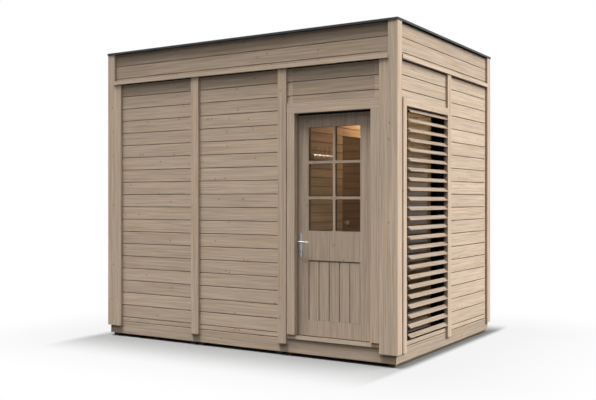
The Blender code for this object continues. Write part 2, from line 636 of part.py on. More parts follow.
def build_door_hinge(name, z):
    """One barrel hinge: the round knuckle and the flag that carries it on the door frame."""
    barrel = cylinder(name, (DOOR_HINGE_X, DOOR_HINGE_Y, z - HINGE_LENGTH / 2),
                      (DOOR_HINGE_X, DOOR_HINGE_Y, z + HINGE_LENGTH / 2), HINGE_RADIUS, SATIN_STEEL)
    half_flag = HINGE_FLAG_THICKNESS / 2
    flag = box("flag", (DOOR_HINGE_X, DOOR_HINGE_Y - half_flag, z - HINGE_LENGTH / 2),
               (DOORWAY_RIGHT - FIT, DOOR_HINGE_Y + half_flag, z), SATIN_STEEL)
    combine(barrel, [flag], "UNION")
    return barrel


def build_window():
    """Casing boards, the louvre screen, and the dark frame with its pane behind it."""
    stile_front = WINDOW_FRONT - WINDOW_STILE_WIDTH
    head_top = WINDOW_TOP + WINDOW_HEAD_HEIGHT
    trim_on_side("window_stile", stile_front, WINDOW_FRONT - FIT, TRIM_BOTTOM, head_top)
    trim_on_side("window_head", WINDOW_FRONT, WINDOW_REAR - FIT, WINDOW_TOP, head_top)
    front, rear = inset(WINDOW_FRONT, WINDOW_REAR)
    bottom, top = inset(WINDOW_BOTTOM, WINDOW_TOP)
    x_outer = WIDTH / 2 - WINDOW_FRAME_RECESS
    x_inner = INNER_X - WINDOW_FRAME_INSIDE
    frame = box("window_frame", (x_inner, front, bottom), (x_outer, rear, top), BLACK_METAL)
    rim = WINDOW_FRAME_THICKNESS
    hole = box("hole_cutter", (x_inner - rim, front + rim, bottom + rim),
               (x_outer + rim, rear - rim, top - rim), BLACK_METAL)
    glass_x = x_inner + WINDOW_FRAME_INSIDE
    edge = WINDOW_GLASS_EDGE
    groove = box("groove_cutter", (glass_x - FIT, front + rim - edge, bottom + rim - edge),
                 (glass_x + WINDOW_GLASS_THICKNESS + FIT, rear - rim + edge, top - rim + edge), BLACK_METAL)
    combine(frame, [hole, groove], "DIFFERENCE")
    reach = rim - edge + FIT
    box("window_glass", (glass_x, front + reach, bottom + reach),
        (glass_x + WINDOW_GLASS_THICKNESS, rear - reach, top - reach), CLEAR_GLASS)
    build_louvre(front, rear, bottom, top)


def eased_section(along, across, ease):
    """Four-sided section spanned by two edge vectors, with its corners cut off."""
    a, c = along.normalized() * ease, across.normalized() * ease
    return [c, a, along - a, along + c, along + across - c, along + across - a, across + a, across - c]


def build_louvre(front, rear, bottom, top):
    """Sloping slats fused to the two upright strips that carry them."""
    back = WIDTH / 2 - WINDOW_FRAME_RECESS + FIT
    carriers = [box(name, (back, low, bottom), (back + CARRIER_THICKNESS, high, top), STAINED_SPRUCE)
                for name, low, high in (("louvre_screen", front, front + FRONT_CARRIER_WIDTH),
                                        ("carrier", rear - REAR_CARRIER_WIDTH, rear))]
    tilt = math.radians(SLAT_TILT_DEG)
    along = Vector((-math.cos(tilt), 0, math.sin(tilt))) * SLAT_WIDTH
    across = Vector((-math.sin(tilt), 0, -math.cos(tilt))) * SLAT_THICKNESS
    slat_height = SLAT_WIDTH * math.sin(tilt) + SLAT_THICKNESS * math.cos(tilt)
    room = WINDOW_TOP - FIRST_SLAT_BOTTOM - slat_height
    start = -DEPTH / 2 + SLATS_FROM_CORNER
    slats = []
    for number in range(int(room / SLAT_PITCH) + 1):
        lowest = FIRST_SLAT_BOTTOM + number * SLAT_PITCH
        nose = Vector((WIDTH / 2, start, lowest + SLAT_THICKNESS * math.cos(tilt)))
        outline = eased_section(along, across, SLAT_EASE)
        slats.append(extrude_outline("slat", outline, (0, rear - start, 0), STAINED_SPRUCE, nose))
    screen, far_carrier = carriers
    return combine(screen, [far_carrier] + slats, "UNION")


def build_partition():
    """The inner wall, split round the glass door, and that door with its knob and hinges."""
    x_range = (PARTITION_FACE - PARTITION_THICKNESS, PARTITION_FACE)
    wall_slab("partition_front", x_range, inset(-INNER_Y, SAUNA_DOORWAY_FRONT), NATURAL_SPRUCE)
    wall_slab("partition_rear", x_range, inset(SAUNA_DOORWAY_REAR, INNER_Y), NATURAL_SPRUCE)
    wall_slab("partition_over_door", x_range, inset(SAUNA_DOORWAY_FRONT, SAUNA_DOORWAY_REAR), NATURAL_SPRUCE,
              (SAUNA_DOORWAY_TOP + FIT, WALL_TOP))
    front = SAUNA_DOORWAY_FRONT + DOOR_LOCK_CLEARANCE
    rear = SAUNA_DOORWAY_REAR - DOOR_CLEARANCE
    foot = WALL_BOTTOM + SAUNA_DOOR_FOOT_GAP
    head = SAUNA_DOORWAY_TOP - DOOR_CLEARANCE
    glass = box("sauna_door_glass", (SAUNA_GLASS_FACE - SAUNA_DOOR_THICKNESS, front, foot),
                (SAUNA_GLASS_FACE, rear, head), BRONZE_GLASS)
    knob_y = front + KNOB_FROM_EDGE
    knob_z = WALL_BOTTOM + KNOB_ABOVE_FLOOR
    neck, start = KNOB_LENGTH - KNOB_HEAD_LENGTH, KNOB_RADIUS - KNOB_ROUNDING
    nose = [(KNOB_LENGTH - KNOB_ROUNDING + KNOB_ROUNDING * math.sin(a), start + KNOB_ROUNDING * math.cos(a))
            for a in (math.pi / 2 * i / 3 for i in range(4))]
    profile = [(0, 0), (0, KNOB_NECK_RADIUS), (neck, KNOB_NECK_RADIUS), (neck, KNOB_RADIUS), *nose,
               (KNOB_LENGTH, 0)]
    knob = turned("sauna_door_knob", profile, SATIN_STEEL, (SAUNA_GLASS_FACE + FIT, knob_y, knob_z))
    hang_on("sauna_door_axis", (SAUNA_HINGE_X, SAUNA_HINGE_Y, foot), [glass, knob])
    for name, z in (("bottom", foot + SAUNA_HINGE_FROM_END), ("top", head - SAUNA_HINGE_FROM_END)):
        build_sauna_hinge(f"sauna_door_hinge_{name}", z - SAUNA_HINGE_LENGTH / 2, z + SAUNA_HINGE_LENGTH / 2)


def build_sauna_hinge(name, z_low, z_high):
    """A barrel hinge of the glass door, with the flag that is screwed to the partition."""
    barrel = cylinder(name, (SAUNA_HINGE_X, SAUNA_HINGE_Y, z_low), (SAUNA_HINGE_X, SAUNA_HINGE_Y, z_high),
                      SAUNA_HINGE_RADIUS, SATIN_STEEL)
    flag_x = PARTITION_FACE + FIT
    flag = box("flag", (flag_x, SAUNA_HINGE_Y, z_low),
               (flag_x + SAUNA_FLAG_THICKNESS, SAUNA_HINGE_Y + SAUNA_FLAG_WIDTH, z_high), SATIN_STEEL)
    return combine(barrel, [flag], "UNION")


def build_coat_rail():
    """A flat rail on the partition with round hooks standing out of it."""
    start = SAUNA_DOORWAY_FRONT - COAT_RAIL_FROM_DOORWAY - COAT_RAIL_LENGTH
    x = PARTITION_FACE + FIT
    high = (x + COAT_RAIL_THICKNESS, start + COAT_RAIL_LENGTH, COAT_RAIL_BOTTOM + COAT_RAIL_HEIGHT)
    rail = box("coat_rail", (x, start, COAT_RAIL_BOTTOM), high, SATIN_STEEL)
    spacing = COAT_RAIL_LENGTH / HOOK_COUNT
    reach, bend = COAT_RAIL_THICKNESS + HOOK_REACH, HOOK_BEND_RADIUS
    quarter = [math.pi / 2 * i / 5 for i in range(6)]
    curl = [(reach + bend * math.sin(a), 0, bend * (1 - math.cos(a))) for a in quarter]
    path = [(COAT_RAIL_THICKNESS / 2, 0, 0), *curl, (reach + bend, 0, bend + HOOK_TIP)]
    z = COAT_RAIL_BOTTOM + COAT_RAIL_HEIGHT / 2
    hooks = [bent_rod("hook", path, HOOK_RADIUS, SATIN_STEEL, (x, start + spacing * (number + 0.5), z))
             for number in range(HOOK_COUNT)]
    combine(rail, hooks, "UNION")


def main():
    """Build the cabin from the ground up."""
    clear_scene()
    build_base()
    build_front_wall()
    build_other_walls()
    build_trims()
    build_fascia_and_roof()
    build_door_surround()
    build_door()
    build_window()
    build_partition()
    build_coat_rail()


main()
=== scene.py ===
"""The outdoor sauna cabin dressed for its picture: boarded walls, louvred window and glazed door.

Metres, +Z up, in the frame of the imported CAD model.  The door side faces -Y and the louvred window
is in the +X side.  Every piece of timber is a closed board of its own, with its own place in a log.
"""
import logging
import math
from dataclasses import dataclass, field
from enum import Enum

import bpy
import numpy as np
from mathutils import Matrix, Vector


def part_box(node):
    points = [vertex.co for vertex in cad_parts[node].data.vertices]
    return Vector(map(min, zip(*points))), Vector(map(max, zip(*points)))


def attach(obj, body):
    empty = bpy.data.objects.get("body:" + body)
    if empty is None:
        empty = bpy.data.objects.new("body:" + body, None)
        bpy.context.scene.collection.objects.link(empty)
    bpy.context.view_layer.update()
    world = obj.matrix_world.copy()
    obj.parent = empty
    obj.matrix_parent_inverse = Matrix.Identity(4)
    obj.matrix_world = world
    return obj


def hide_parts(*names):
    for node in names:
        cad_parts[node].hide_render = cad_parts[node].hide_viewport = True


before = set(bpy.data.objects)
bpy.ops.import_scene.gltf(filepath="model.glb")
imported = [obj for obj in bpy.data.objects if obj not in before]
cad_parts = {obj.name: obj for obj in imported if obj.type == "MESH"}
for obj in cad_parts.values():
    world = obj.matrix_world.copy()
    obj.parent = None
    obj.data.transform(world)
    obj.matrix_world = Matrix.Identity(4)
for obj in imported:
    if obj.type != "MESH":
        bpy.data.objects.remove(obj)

LOG = logging.getLogger("sauna_cabin")
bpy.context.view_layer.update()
# Painted shade on the timber that only shows through a joint, so each joint reads as a shaded groove
JOINT_PAINTED_SHADE = -5.0
# Metres that keep the faces of two parts that lie on one another from falling together
HAIR = 0.0003
# Scale at which the wave texture draws rings one metre apart: a tenth of pi
METRE_RINGS = 0.31416


class Axis(Enum):
    """Direction that a board or bar runs in."""
    X = 0
    Y = 1
    Z = 2


class Body(Enum):
    """CAD bodies that pieces ride on."""
    CABIN = "cabin"
    DOOR = "door"
    LEVER = "lever"
    SAUNA_DOOR = "sauna_door"


def linear(hex_colour: str) -> tuple[float, float, float, float]:
    """Turn an sRGB hex colour into linear RGBA values.

    Args:
        hex_colour: Colour written as #RRGGBB.
    Returns:
        Red, green, blue and alpha, linear.
    """
    channels = [int(hex_colour[i:i + 2], 16) / 255 for i in (1, 3, 5)]
    values = [c / 12.92 if c <= 0.04045 else ((c + 0.055) / 1.055) ** 2.4 for c in channels]
    return (values[0], values[1], values[2], 1.0)


def add_node(tree: bpy.types.NodeTree, kind: str, inputs: dict | None = None,
             **settings: object) -> bpy.types.Node:
    """Add a shader node, set its properties and fill or link its inputs.

    Args:
        tree: Node tree of the material.
        kind: Type of the node, such as ShaderNodeTexNoise.
        inputs: Socket name or number to a plain value, or to the output socket that feeds it.
        settings: Properties of the node itself.
    Returns:
        The new node.
    """
    node = tree.nodes.new(kind)
    for key, value in settings.items():
        setattr(node, key, value)
    feed(node, inputs or {})
    return node


def feed(node: bpy.types.Node, inputs: dict) -> None:
    """Fill or link the inputs of a node.

    Args:
        node: The node.
        inputs: Socket name or number to a plain value, or to the output socket that feeds it.
    """
    for key, value in inputs.items():
        if isinstance(value, bpy.types.NodeSocket):
            node.id_data.links.new(value, node.inputs[key])
        else:
            node.inputs[key].default_value = value


@dataclass(frozen=True)
class Finish:
    """A finish: the name of its material, and the material slot of the record that it belongs to, which
    this script does not use.
    """
    name: str
    slot: str

    def paint(self, tree: bpy.types.NodeTree, shader: bpy.types.Node) -> None:
        """Add the finish's own nodes to a new material.

        Args:
            tree: Node tree of the material.
            shader: Its Principled node.
        """
        raise NotImplementedError

    def material(self) -> bpy.types.Material:
        """Build the material once and hand it out again after that.

        Returns:
            The material.
        """
        material = bpy.data.materials.get(self.name)
        if material is None:
            material = bpy.data.materials.new(self.name)
            material.use_nodes = True
            self.paint(material.node_tree, material.node_tree.nodes["Principled BSDF"])
        return material


@dataclass(frozen=True)
class SawnSpruce(Finish):
    """Sawn and planed spruce: a matt face, and year rings, fibre and knots that show through stain.

    Pattern space is the board's own: metres along, across and through it, counted from the heart of
    the log that it was sawn from.
    """
    early: str
    late: str
    warm: str
    knot: str
    ring_mm: float = 7.0
    fibre_mm: float = 1.6
    streak_mm: float = 7.0
    knot_mm: float = 8.0
    knot_threshold: float = 0.71
    ring_depth: float = 0.55
    streak_depth: float = 0.10
    tone_depth: float = 0.05
    ledge_painted_shade: float = 0.22
    roughness: float = 0.72
    specular: float = 0.12

    def paint(self, tree: bpy.types.NodeTree, shader: bpy.types.Node) -> None:
        """Year rings, fibre, streaks, knots and board tones, and painted shade on faces that look up.

        Args:
            tree: Node tree of the material.
            shader: Its Principled node.
        """
        grain = add_node(tree, "ShaderNodeAttribute", attribute_name="grain").outputs["Vector"]
        tone = add_node(tree, "ShaderNodeAttribute", attribute_name="tone").outputs["Fac"]
        # Every pattern runs on along the log, so that axis is scaled down.
        # Year rings: real ones are 2 to 4 mm apart, drawn coarser so that they show
        long_grain = add_node(tree, "ShaderNodeMapping", {"Vector": grain, "Scale": (0.05, 1, 1)})
        rings = add_node(tree, "ShaderNodeTexWave",
                         {"Vector": long_grain.outputs[0], "Scale": METRE_RINGS / (self.ring_mm / 1000),
                          "Distortion": 7.0, "Detail": 3.0, "Detail Scale": 0.32,
                          "Detail Roughness": 0.5},
                         wave_type="RINGS", rings_direction="X", wave_profile="SAW").outputs["Fac"]
        # Fibre and two widths of streak: drawn coarser than real fibre, which is under 0.1 mm wide
        fibre_map = add_node(tree, "ShaderNodeMapping", {"Vector": grain, "Scale": (0.02, 1, 1)})
        fibre, fine, broad = (add_node(tree, "ShaderNodeTexNoise",
                                       {"Vector": fibre_map.outputs[0], "Scale": 500 / width,
                                        "Detail": 2.0, "Roughness": 0.6}).outputs["Fac"]
                              for width in (self.fibre_mm, self.streak_mm * 0.6, self.streak_mm * 1.7))
        # Warm patches of heartwood, half a metre long and 70 mm wide
        patch_map = add_node(tree, "ShaderNodeMapping", {"Vector": grain, "Scale": (1.9, 14, 14)})
        patch = add_node(tree, "ShaderNodeTexNoise",
                         {"Vector": patch_map.outputs[0], "Scale": 1.0, "Detail": 2.0}).outputs["Fac"]
        # Knots: one possible place every 130 mm, one in five of them taken
        knot_map = add_node(tree, "ShaderNodeMapping", {"Vector": grain, "Scale": (7.5, 9.0, 1)})
        cells = add_node(tree, "ShaderNodeTexVoronoi",
                         {"Vector": knot_map.outputs[0], "Scale": 1.0, "Randomness": 0.9},
                         voronoi_dimensions="2D")
        taken = add_node(tree, "ShaderNodeMath", {0: cells.outputs["Color"], 1: self.knot_threshold},
                         operation="GREATER_THAN").outputs[0]
        radius = self.knot_mm / 1000 * 8.2
        spots = []
        for start, stop, strength in ((0.3, 1.0, 0.8), (0.6, 3.6, 0.5)):
            spot = add_node(tree, "ShaderNodeMapRange",
                            {"Value": cells.outputs["Distance"], "From Min": radius * start,
                             "From Max": radius * stop, "To Min": strength, "To Max": 0.0},
                            interpolation_type="SMOOTHSTEP").outputs[0]
            spots.append(add_node(tree, "ShaderNodeMath", {0: spot, 1: taken},
                                  operation="MULTIPLY").outputs[0])
        core, halo = spots
        ring_mix = add_node(tree, "ShaderNodeMapRange",
                            {"Value": rings, "From Min": 0.35, "From Max": 1.0, "To Min": 0.0,
                             "To Max": self.ring_depth}).outputs[0]
        wood = add_node(tree, "ShaderNodeMix", {0: ring_mix, 6: linear(self.early), 7: linear(self.late)},
                        data_type="RGBA").outputs[2]
        warm_mix = add_node(tree, "ShaderNodeMapRange",
                            {"Value": patch, "From Min": 0.52, "From Max": 0.74, "To Min": 0.0,
                             "To Max": 0.6}, interpolation_type="SMOOTHSTEP").outputs[0]
        warm_mix = add_node(tree, "ShaderNodeMath", {0: warm_mix, 1: halo},
                            operation="MAXIMUM").outputs[0]
        for share, colour in ((warm_mix, self.warm), (core, self.knot)):
            wood = add_node(tree, "ShaderNodeMix", {0: share, 6: wood, 7: linear(colour)},
                            data_type="RGBA").outputs[2]
        # Board tone: its random part plus the painted shade or painted light of its piece
        value = add_node(tree, "ShaderNodeMapRange",
                         {"Value": tone, "To Min": 1 - self.tone_depth,
                          "To Max": 1 + self.tone_depth}, clamp=False).outputs[0]
        for noise, depth in ((broad, self.streak_depth * 0.6), (fine, self.streak_depth)):
            streak = add_node(tree, "ShaderNodeMapRange",
                              {"Value": noise, "From Min": 0.36, "From Max": 0.60, "To Min": 1 - depth,
                               "To Max": 1 + depth * 0.6}).outputs[0]
            value = add_node(tree, "ShaderNodeMath", {0: value, 1: streak},
                             operation="MULTIPLY").outputs[0]
        # Painted shade: faces that look up are darkened, level tops the most, so ledges are darker than
        # walls
        facing = add_node(tree, "ShaderNodeSeparateXYZ",
                          {0: add_node(tree, "ShaderNodeNewGeometry").outputs["Normal"]}).outputs["Z"]
        ledge = add_node(tree, "ShaderNodeMapRange",
                         {"Value": facing, "From Min": 0.12, "From Max": 1.0, "To Min": 1.0,
                          "To Max": self.ledge_painted_shade}).outputs[0]
        value = add_node(tree, "ShaderNodeMath", {0: value, 1: ledge},
                         operation="MULTIPLY").outputs[0]
        wood = add_node(tree, "ShaderNodeMix", {0: 1.0, 6: wood, 7: value}, data_type="RGBA",
                        blend_type="MULTIPLY").outputs[2]
        roughness = add_node(tree, "ShaderNodeMapRange",
                             {"Value": fibre, "From Min": 0.3, "From Max": 0.7,
                              "To Min": self.roughness - 0.08,
                              "To Max": self.roughness + 0.08}).outputs[0]
        relief = add_node(tree, "ShaderNodeMath", {0: fibre, 1: rings, 2: 0.4},
                          operation="MULTIPLY_ADD").outputs[0]
        bump = add_node(tree, "ShaderNodeBump", {"Height": relief, "Strength": 0.5, "Distance": 0.0005})
        feed(shader, {"Base Color": wood, "Roughness": roughness, "Normal": bump.outputs[0],
                      "Specular IOR Level": self.specular})


@dataclass(frozen=True)
class MineralFelt(Finish):
    """Bitumen roofing felt: slate granules pressed into its face, so it is rough and mottled."""
    dark: str = "#242628"
    pale: str = "#44474A"
    granule_mm: float = 4.0

    def paint(self, tree: bpy.types.NodeTree, shader: bpy.types.Node) -> None:
        """Pale and dark granules on a cloudy ground.

        Args:
            tree: Node tree of the material.
            shader: Its Principled node.
        """
        place = add_node(tree, "ShaderNodeTexCoord").outputs["Object"]
        # Granules are about 1 mm across, drawn as coarse as they need to show
        granules = add_node(tree, "ShaderNodeTexVoronoi",
                            {"Vector": place, "Scale": 1000 / self.granule_mm}).outputs["Color"]
        cloud = add_node(tree, "ShaderNodeTexNoise", {"Vector": place, "Scale": 3.0, "Detail": 5.0})
        mixed = add_node(tree, "ShaderNodeMath", {0: granules, 1: 0.5}, operation="MULTIPLY").outputs[0]
        mixed = add_node(tree, "ShaderNodeMath", {0: cloud.outputs["Fac"], 1: 0.5, 2: mixed},
                         operation="MULTIPLY_ADD").outputs[0]
        colour = add_node(tree, "ShaderNodeMix", {0: mixed, 6: linear(self.dark), 7: linear(self.pale)},
                          data_type="RGBA").outputs[2]
        bump = add_node(tree, "ShaderNodeBump", {"Height": granules, "Strength": 0.4, "Distance": 0.001})
        feed(shader, {"Base Color": colour, "Roughness": 0.92, "Normal": bump.outputs[0]})


@dataclass(frozen=True)
class DarkCoat(Finish):
    """Smooth dark coat with a faint orange peel: baked paint on steel, anodising, and black strips of
    painted shade.
    """
    coat: str = "#151618"
    dust: str = "#26272A"
    peel_mm: float = 3.0
    roughness: float = 0.4
    specular: float = 0.45

    def paint(self, tree: bpy.types.NodeTree, shader: bpy.types.Node) -> None:
        """Dust in clouds over the coat, and its peel.

        Args:
            tree: Node tree of the material.
            shader: Its Principled node.
        """
        place = add_node(tree, "ShaderNodeTexCoord").outputs["Object"]
        cloud = add_node(tree, "ShaderNodeTexNoise", {"Vector": place, "Scale": 6.0, "Detail": 6.0,
                                                      "Roughness": 0.65}).outputs["Fac"]
        peel = add_node(tree, "ShaderNodeTexNoise", {"Vector": place, "Scale": 1000 / self.peel_mm,
                                                     "Detail": 1.0}).outputs["Fac"]
        dusty = add_node(tree, "ShaderNodeMapRange", {"Value": cloud, "From Min": 0.45, "From Max": 0.75,
                                                      "To Max": 0.7}).outputs[0]
        colour = add_node(tree, "ShaderNodeMix", {0: dusty, 6: linear(self.coat), 7: linear(self.dust)},
                          data_type="RGBA").outputs[2]
        rough = add_node(tree, "ShaderNodeMapRange", {"Value": cloud, "To Min": self.roughness - 0.06,
                                                      "To Max": self.roughness + 0.18}).outputs[0]
        bump = add_node(tree, "ShaderNodeBump", {"Height": peel, "Strength": 0.08, "Distance": 0.0006})
        feed(shader, {"Base Color": colour, "Roughness": rough, "Normal": bump.outputs[0],
                      "Specular IOR Level": self.specular})


@dataclass(frozen=True)
class BrushedSteel(Finish):
    """Stainless steel brushed along its length: bright, with soft streaked highlights."""
    bright: str
    dull: str
    roughness: float
    brush_mm: float = 0.8

    def paint(self, tree: bpy.types.NodeTree, shader: bpy.types.Node) -> None:
        """Brush marks in colour and gloss.

        Args:
            tree: Node tree of the material.
            shader: Its Principled node.
        """
        place = add_node(tree, "ShaderNodeTexCoord").outputs["Object"]
        # Brush marks are about 0.1 mm apart, drawn as coarse as they need to show
        brushed = add_node(tree, "ShaderNodeMapping", {"Vector": place, "Scale": (1, 1, 0.03)})
        marks = add_node(tree, "ShaderNodeTexNoise", {"Vector": brushed.outputs[0], "Detail": 2.0,
                                                      "Scale": 1000 / self.brush_mm}).outputs["Fac"]
        colour = add_node(tree, "ShaderNodeMix", {0: marks, 6: linear(self.bright), 7: linear(self.dull)},
                          data_type="RGBA").outputs[2]
        rough = add_node(tree, "ShaderNodeMapRange", {"Value": marks, "To Min": self.roughness - 0.08,
                                                      "To Max": self.roughness + 0.10}).outputs[0]
        feed(shader, {"Base Color": colour, "Metallic": 1.0, "Roughness": rough})


@dataclass(frozen=True)
class FloatGlass(Finish):
    """Float glass: smooth and clear or tinted through, with the faint film of an unwiped pane."""
    tint: str
    film: str
    ior: float

    def paint(self, tree: bpy.types.NodeTree, shader: bpy.types.Node) -> None:
        """A clouded film on the pane.

        Args:
            tree: Node tree of the material.
            shader: Its Principled node.
        """
        place = add_node(tree, "ShaderNodeTexCoord").outputs["Object"]
        cloud = add_node(tree, "ShaderNodeTexNoise", {"Vector": place, "Scale": 5.0,
                                                      "Detail": 4.0}).outputs["Fac"]
        colour = add_node(tree, "ShaderNodeMix", {0: cloud, 6: linear(self.tint), 7: linear(self.film)},
                          data_type="RGBA").outputs[2]
        rough = add_node(tree, "ShaderNodeMapRange", {"Value": cloud, "From Min": 0.4, "From Max": 0.8,
                                                      "To Min": 0.0, "To Max": 0.04}).outputs[0]
        feed(shader, {"Base Color": colour, "Roughness": rough, "Transmission Weight": 1.0,
                      "IOR": self.ior})


# Greige stain on spruce cladding: thin, so year rings and small knots stay visible
STAINED = SawnSpruce("greige_stained_spruce", "stained_spruce", early="#C2AE9A", late="#B49F89",
                     warm="#C1A78A", knot="#84705F", ring_mm=8.0, ring_depth=0.42,
                     streak_mm=5.5, streak_depth=0.15, knot_mm=8.5)
# Untreated spruce of the lining: honey coloured, with brown knots
NATURAL = SawnSpruce("natural_spruce_lining", "natural_spruce", early="#D9BC9D", late="#BC9871",
                     warm="#CDA47A", knot="#7C4A26", roughness=0.6, ledge_painted_shade=1.0)
# Pressure-impregnated bearers: dull green-brown and rough sawn
IMPREGNATED = SawnSpruce("impregnated_bearer_timber", "impregnated_bearers", early="#7B725F",
                         late="#5F5746", warm="#7A6A4D", knot="#433726", roughness=0.85,
                         ledge_painted_shade=0.8)
# Slate-grey roofing felt: its granules scatter the light, so it is mottled and has no shine
FELT = MineralFelt("mineral_felt", "roof_felt")
# Baked black paint on the edging sheet and in the keyholes: a soft, broad shine
BLACK_PAINT = DarkCoat("black_painted_sheet", "black_metal")
# Painted shade: black strips over the door, on the leaf's top edge and under the fascia, where the gaps
# lie in deep shade
SHADE_STRIP = DarkCoat("black_painted_shade_strip", "black_metal", coat="#121314", dust="#1B1C1D", peel_mm=1.5,
                roughness=0.7, specular=0.08)
# Bronze anodised bar between the door's panes: dull dark brown, so the edge of the glass is quiet
SPACER = DarkCoat("bronze_anodised_bar", "black_metal", coat="#584B3E", dust="#655747", roughness=0.6,
                  specular=0.1)
# Matt black paint on the window frame, its reveal and the slat carriers: dark at every angle
FRAME_PAINT = DarkCoat("black_frame_paint", "black_metal", coat="#17181A", dust="#222325",
                       roughness=0.6, specular=0.12)
# Satin stainless steel of lever, plates and hinges: mid grey, with soft streaked highlights
STEEL = BrushedSteel("brushed_steel", "satin_steel", bright="#A9AAAB", dull="#838587", roughness=0.36)
# Bright chrome on the coat rail, the knob and the glass door's hinges: pale, softly mirroring
CHROME = BrushedSteel("polished_chrome", "satin_steel", bright="#EDEEEE", dull="#DCDDDE",
                      roughness=0.32, brush_mm=2.0)
# The panes' IOR is below that of real glass, 1.5, so that the white studio does not veil the rooms.
# Clear float glass of the window: cool grey-green in its body, the more so seen at a slant
WINDOW_PANE = FloatGlass("clear_window_glass", "clear_glass", tint="#9CA8A6", film="#929D9B", ior=1.15)
# Clear float glass of the door: almost colourless seen straight on
DOOR_PANE = FloatGlass("clear_door_glass", "clear_glass", tint="#F4F5F2", film="#EAEBE6", ior=1.12)
# Bronze float glass of the sauna door: it browns and dims what stands behind it
BRONZE_GLASS = FloatGlass("bronze_float_glass", "bronze_glass", tint="#CBCABF", film="#BFBDB1", ior=1.2)


def put_in_scene(name: str, points: np.ndarray, faces: list[list[int]], finish: Finish, body: Body,
                 nodes: tuple[str, ...] = (), sharp_deg: float = 35.0) -> bpy.types.Object:
    """Make a mesh object at the origin from arrays, dress it and let it ride on a body.

    Args:
        name: Name of the piece.
        points: Vertices, one row each.
        faces: Vertex numbers of each face, counted round it as seen from outside.
        finish: The finish and its material.
        body: Body that the piece rides on.
        nodes: CAD nodes that the piece stands for.
        sharp_deg: Edges sharper than this stay hard.
    Returns:
        The object.
    """
    mesh = bpy.data.meshes.new(name)
    mesh.from_pydata(points.tolist(), [], faces)
    mesh.update()
    mesh.shade_smooth()
    mesh.set_sharp_from_angle(angle=math.radians(sharp_deg))
    mesh.materials.append(finish.material())
    piece = bpy.data.objects.new(name, mesh)
    bpy.context.scene.collection.objects.link(piece)
    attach(piece, body.value)
    if nodes:
        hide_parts(*nodes)
    LOG.info("%s: %d points, %d faces", name, len(points), len(faces))
    return piece


def eased(corners: np.ndarray, ease: float, steps: int = 3) -> np.ndarray:
    """Closed profile whose corners are rounded.

    Each corner P gives way to the curve (1-t)^2 A + 2t(1-t) P + t^2 B, where A and B lie on its two
    edges at the ease from it.  A further point beyond A and beyond B keeps the flats flat.

    Args:
        corners: Corner points of the profile, in either direction.
        ease: Distance from a corner at which its curve starts.
        steps: Straight parts of each curve.
    Returns:
        Points of the profile, anticlockwise.
    """
    ahead = np.roll(corners, -1, axis=0)
    if np.sum(corners[:, 0] * ahead[:, 1] - ahead[:, 0] * corners[:, 1]) < 0:
        corners = corners[::-1]
    to_last = np.roll(corners, 1, axis=0) - corners
    to_next = np.roll(corners, -1, axis=0) - corners
    last_length = np.linalg.norm(to_last, axis=1, keepdims=True)
    next_length = np.linalg.norm(to_next, axis=1, keepdims=True)
    reach = np.minimum(ease, 0.3 * np.minimum(last_length, next_length))
    start = corners + to_last / last_length * reach
    end = corners + to_next / next_length * reach
    t = np.linspace(0, 1, steps + 1)[None, :, None]
    curve = (1 - t) ** 2 * start[:, None] + 2 * t * (1 - t) * corners[:, None] + t ** 2 * end[:, None]
    before = (start + to_last / last_length * reach * 0.6)[:, None]
    after = (end + to_next / next_length * reach * 0.6)[:, None]
    return np.concatenate([before, curve, after], axis=1).reshape(-1, 2)


def tube_faces(rows: int, around: int, first: int = 0, ring: bool = False) -> list[list[int]]:
    """Faces of a grid of points that closes round each row.

    Args:
        rows: Rows of points along the path.
        around: Points in a row.
        first: Number of the first point.
        ring: True where the last row joins the first, otherwise both ends get a cap.
    Returns:
        Vertex numbers of each face.
    """
    grid = np.arange(rows * around).reshape(rows, around) + first
    right = np.roll(grid, -1, axis=1)
    if ring:
        quads = np.stack([grid, right, np.roll(right, -1, axis=0), np.roll(grid, -1, axis=0)], axis=-1)
        return quads.reshape(-1, 4).tolist()
    quads = np.stack([grid[:-1], right[:-1], right[1:], grid[1:]], axis=-1).reshape(-1, 4)
    return quads.tolist() + [grid[0][::-1].tolist(), grid[-1].tolist()]


def carried_round(path: np.ndarray, outward: np.ndarray, section: np.ndarray) -> np.ndarray:
    """Points of a section carried round a closed path that lies in a plane.

    Point (s, p) is path point s moved outwards by the section's first value, at its second as the
    place square to the plane.

    Args:
        path: Points of the path in its plane.
        outward: Way out of the path at each of them.
        section: Closed profile as (outward, square to the plane).
    Returns:
        A row of points for each point of the path.
    """
    spread = path[:, None] + outward[:, None] * section[None, :, :1]
    return np.concatenate([spread, np.broadcast_to(section[:, 1:], (*spread.shape[:2], 1))], axis=-1)


def end_face(low: tuple, high: tuple, axis: Axis) -> np.ndarray:
    """Corners of a box's end, on the two axes that follow its length in the order X, Y, Z.

    Args:
        low: Lowest corner of the box.
        high: Highest corner.
        axis: Direction of its length.
    Returns:
        The four corners in order.
    """
    first, second = (axis.value + 1) % 3, (axis.value + 2) % 3
    return np.array([(low[first], low[second]), (high[first], low[second]),
                     (high[first], high[second]), (low[first], high[second])])


def wall_box(axis: Axis, depths: tuple, stations: tuple, heights: tuple) -> tuple[tuple, tuple]:
    """Opposite corners of a box in a wall.

    Args:
        axis: Level axis that the wall runs along.
        depths: Places of its two faces on the other level axis, in either order.
        stations: Its start and stop along the wall.
        heights: Its bottom and top.
    Returns:
        Its lowest and its highest corner.
    """
    level = (stations, sorted(depths)) if axis is Axis.X else (sorted(depths), stations)
    low, high = zip(*level, heights)
    return low, high


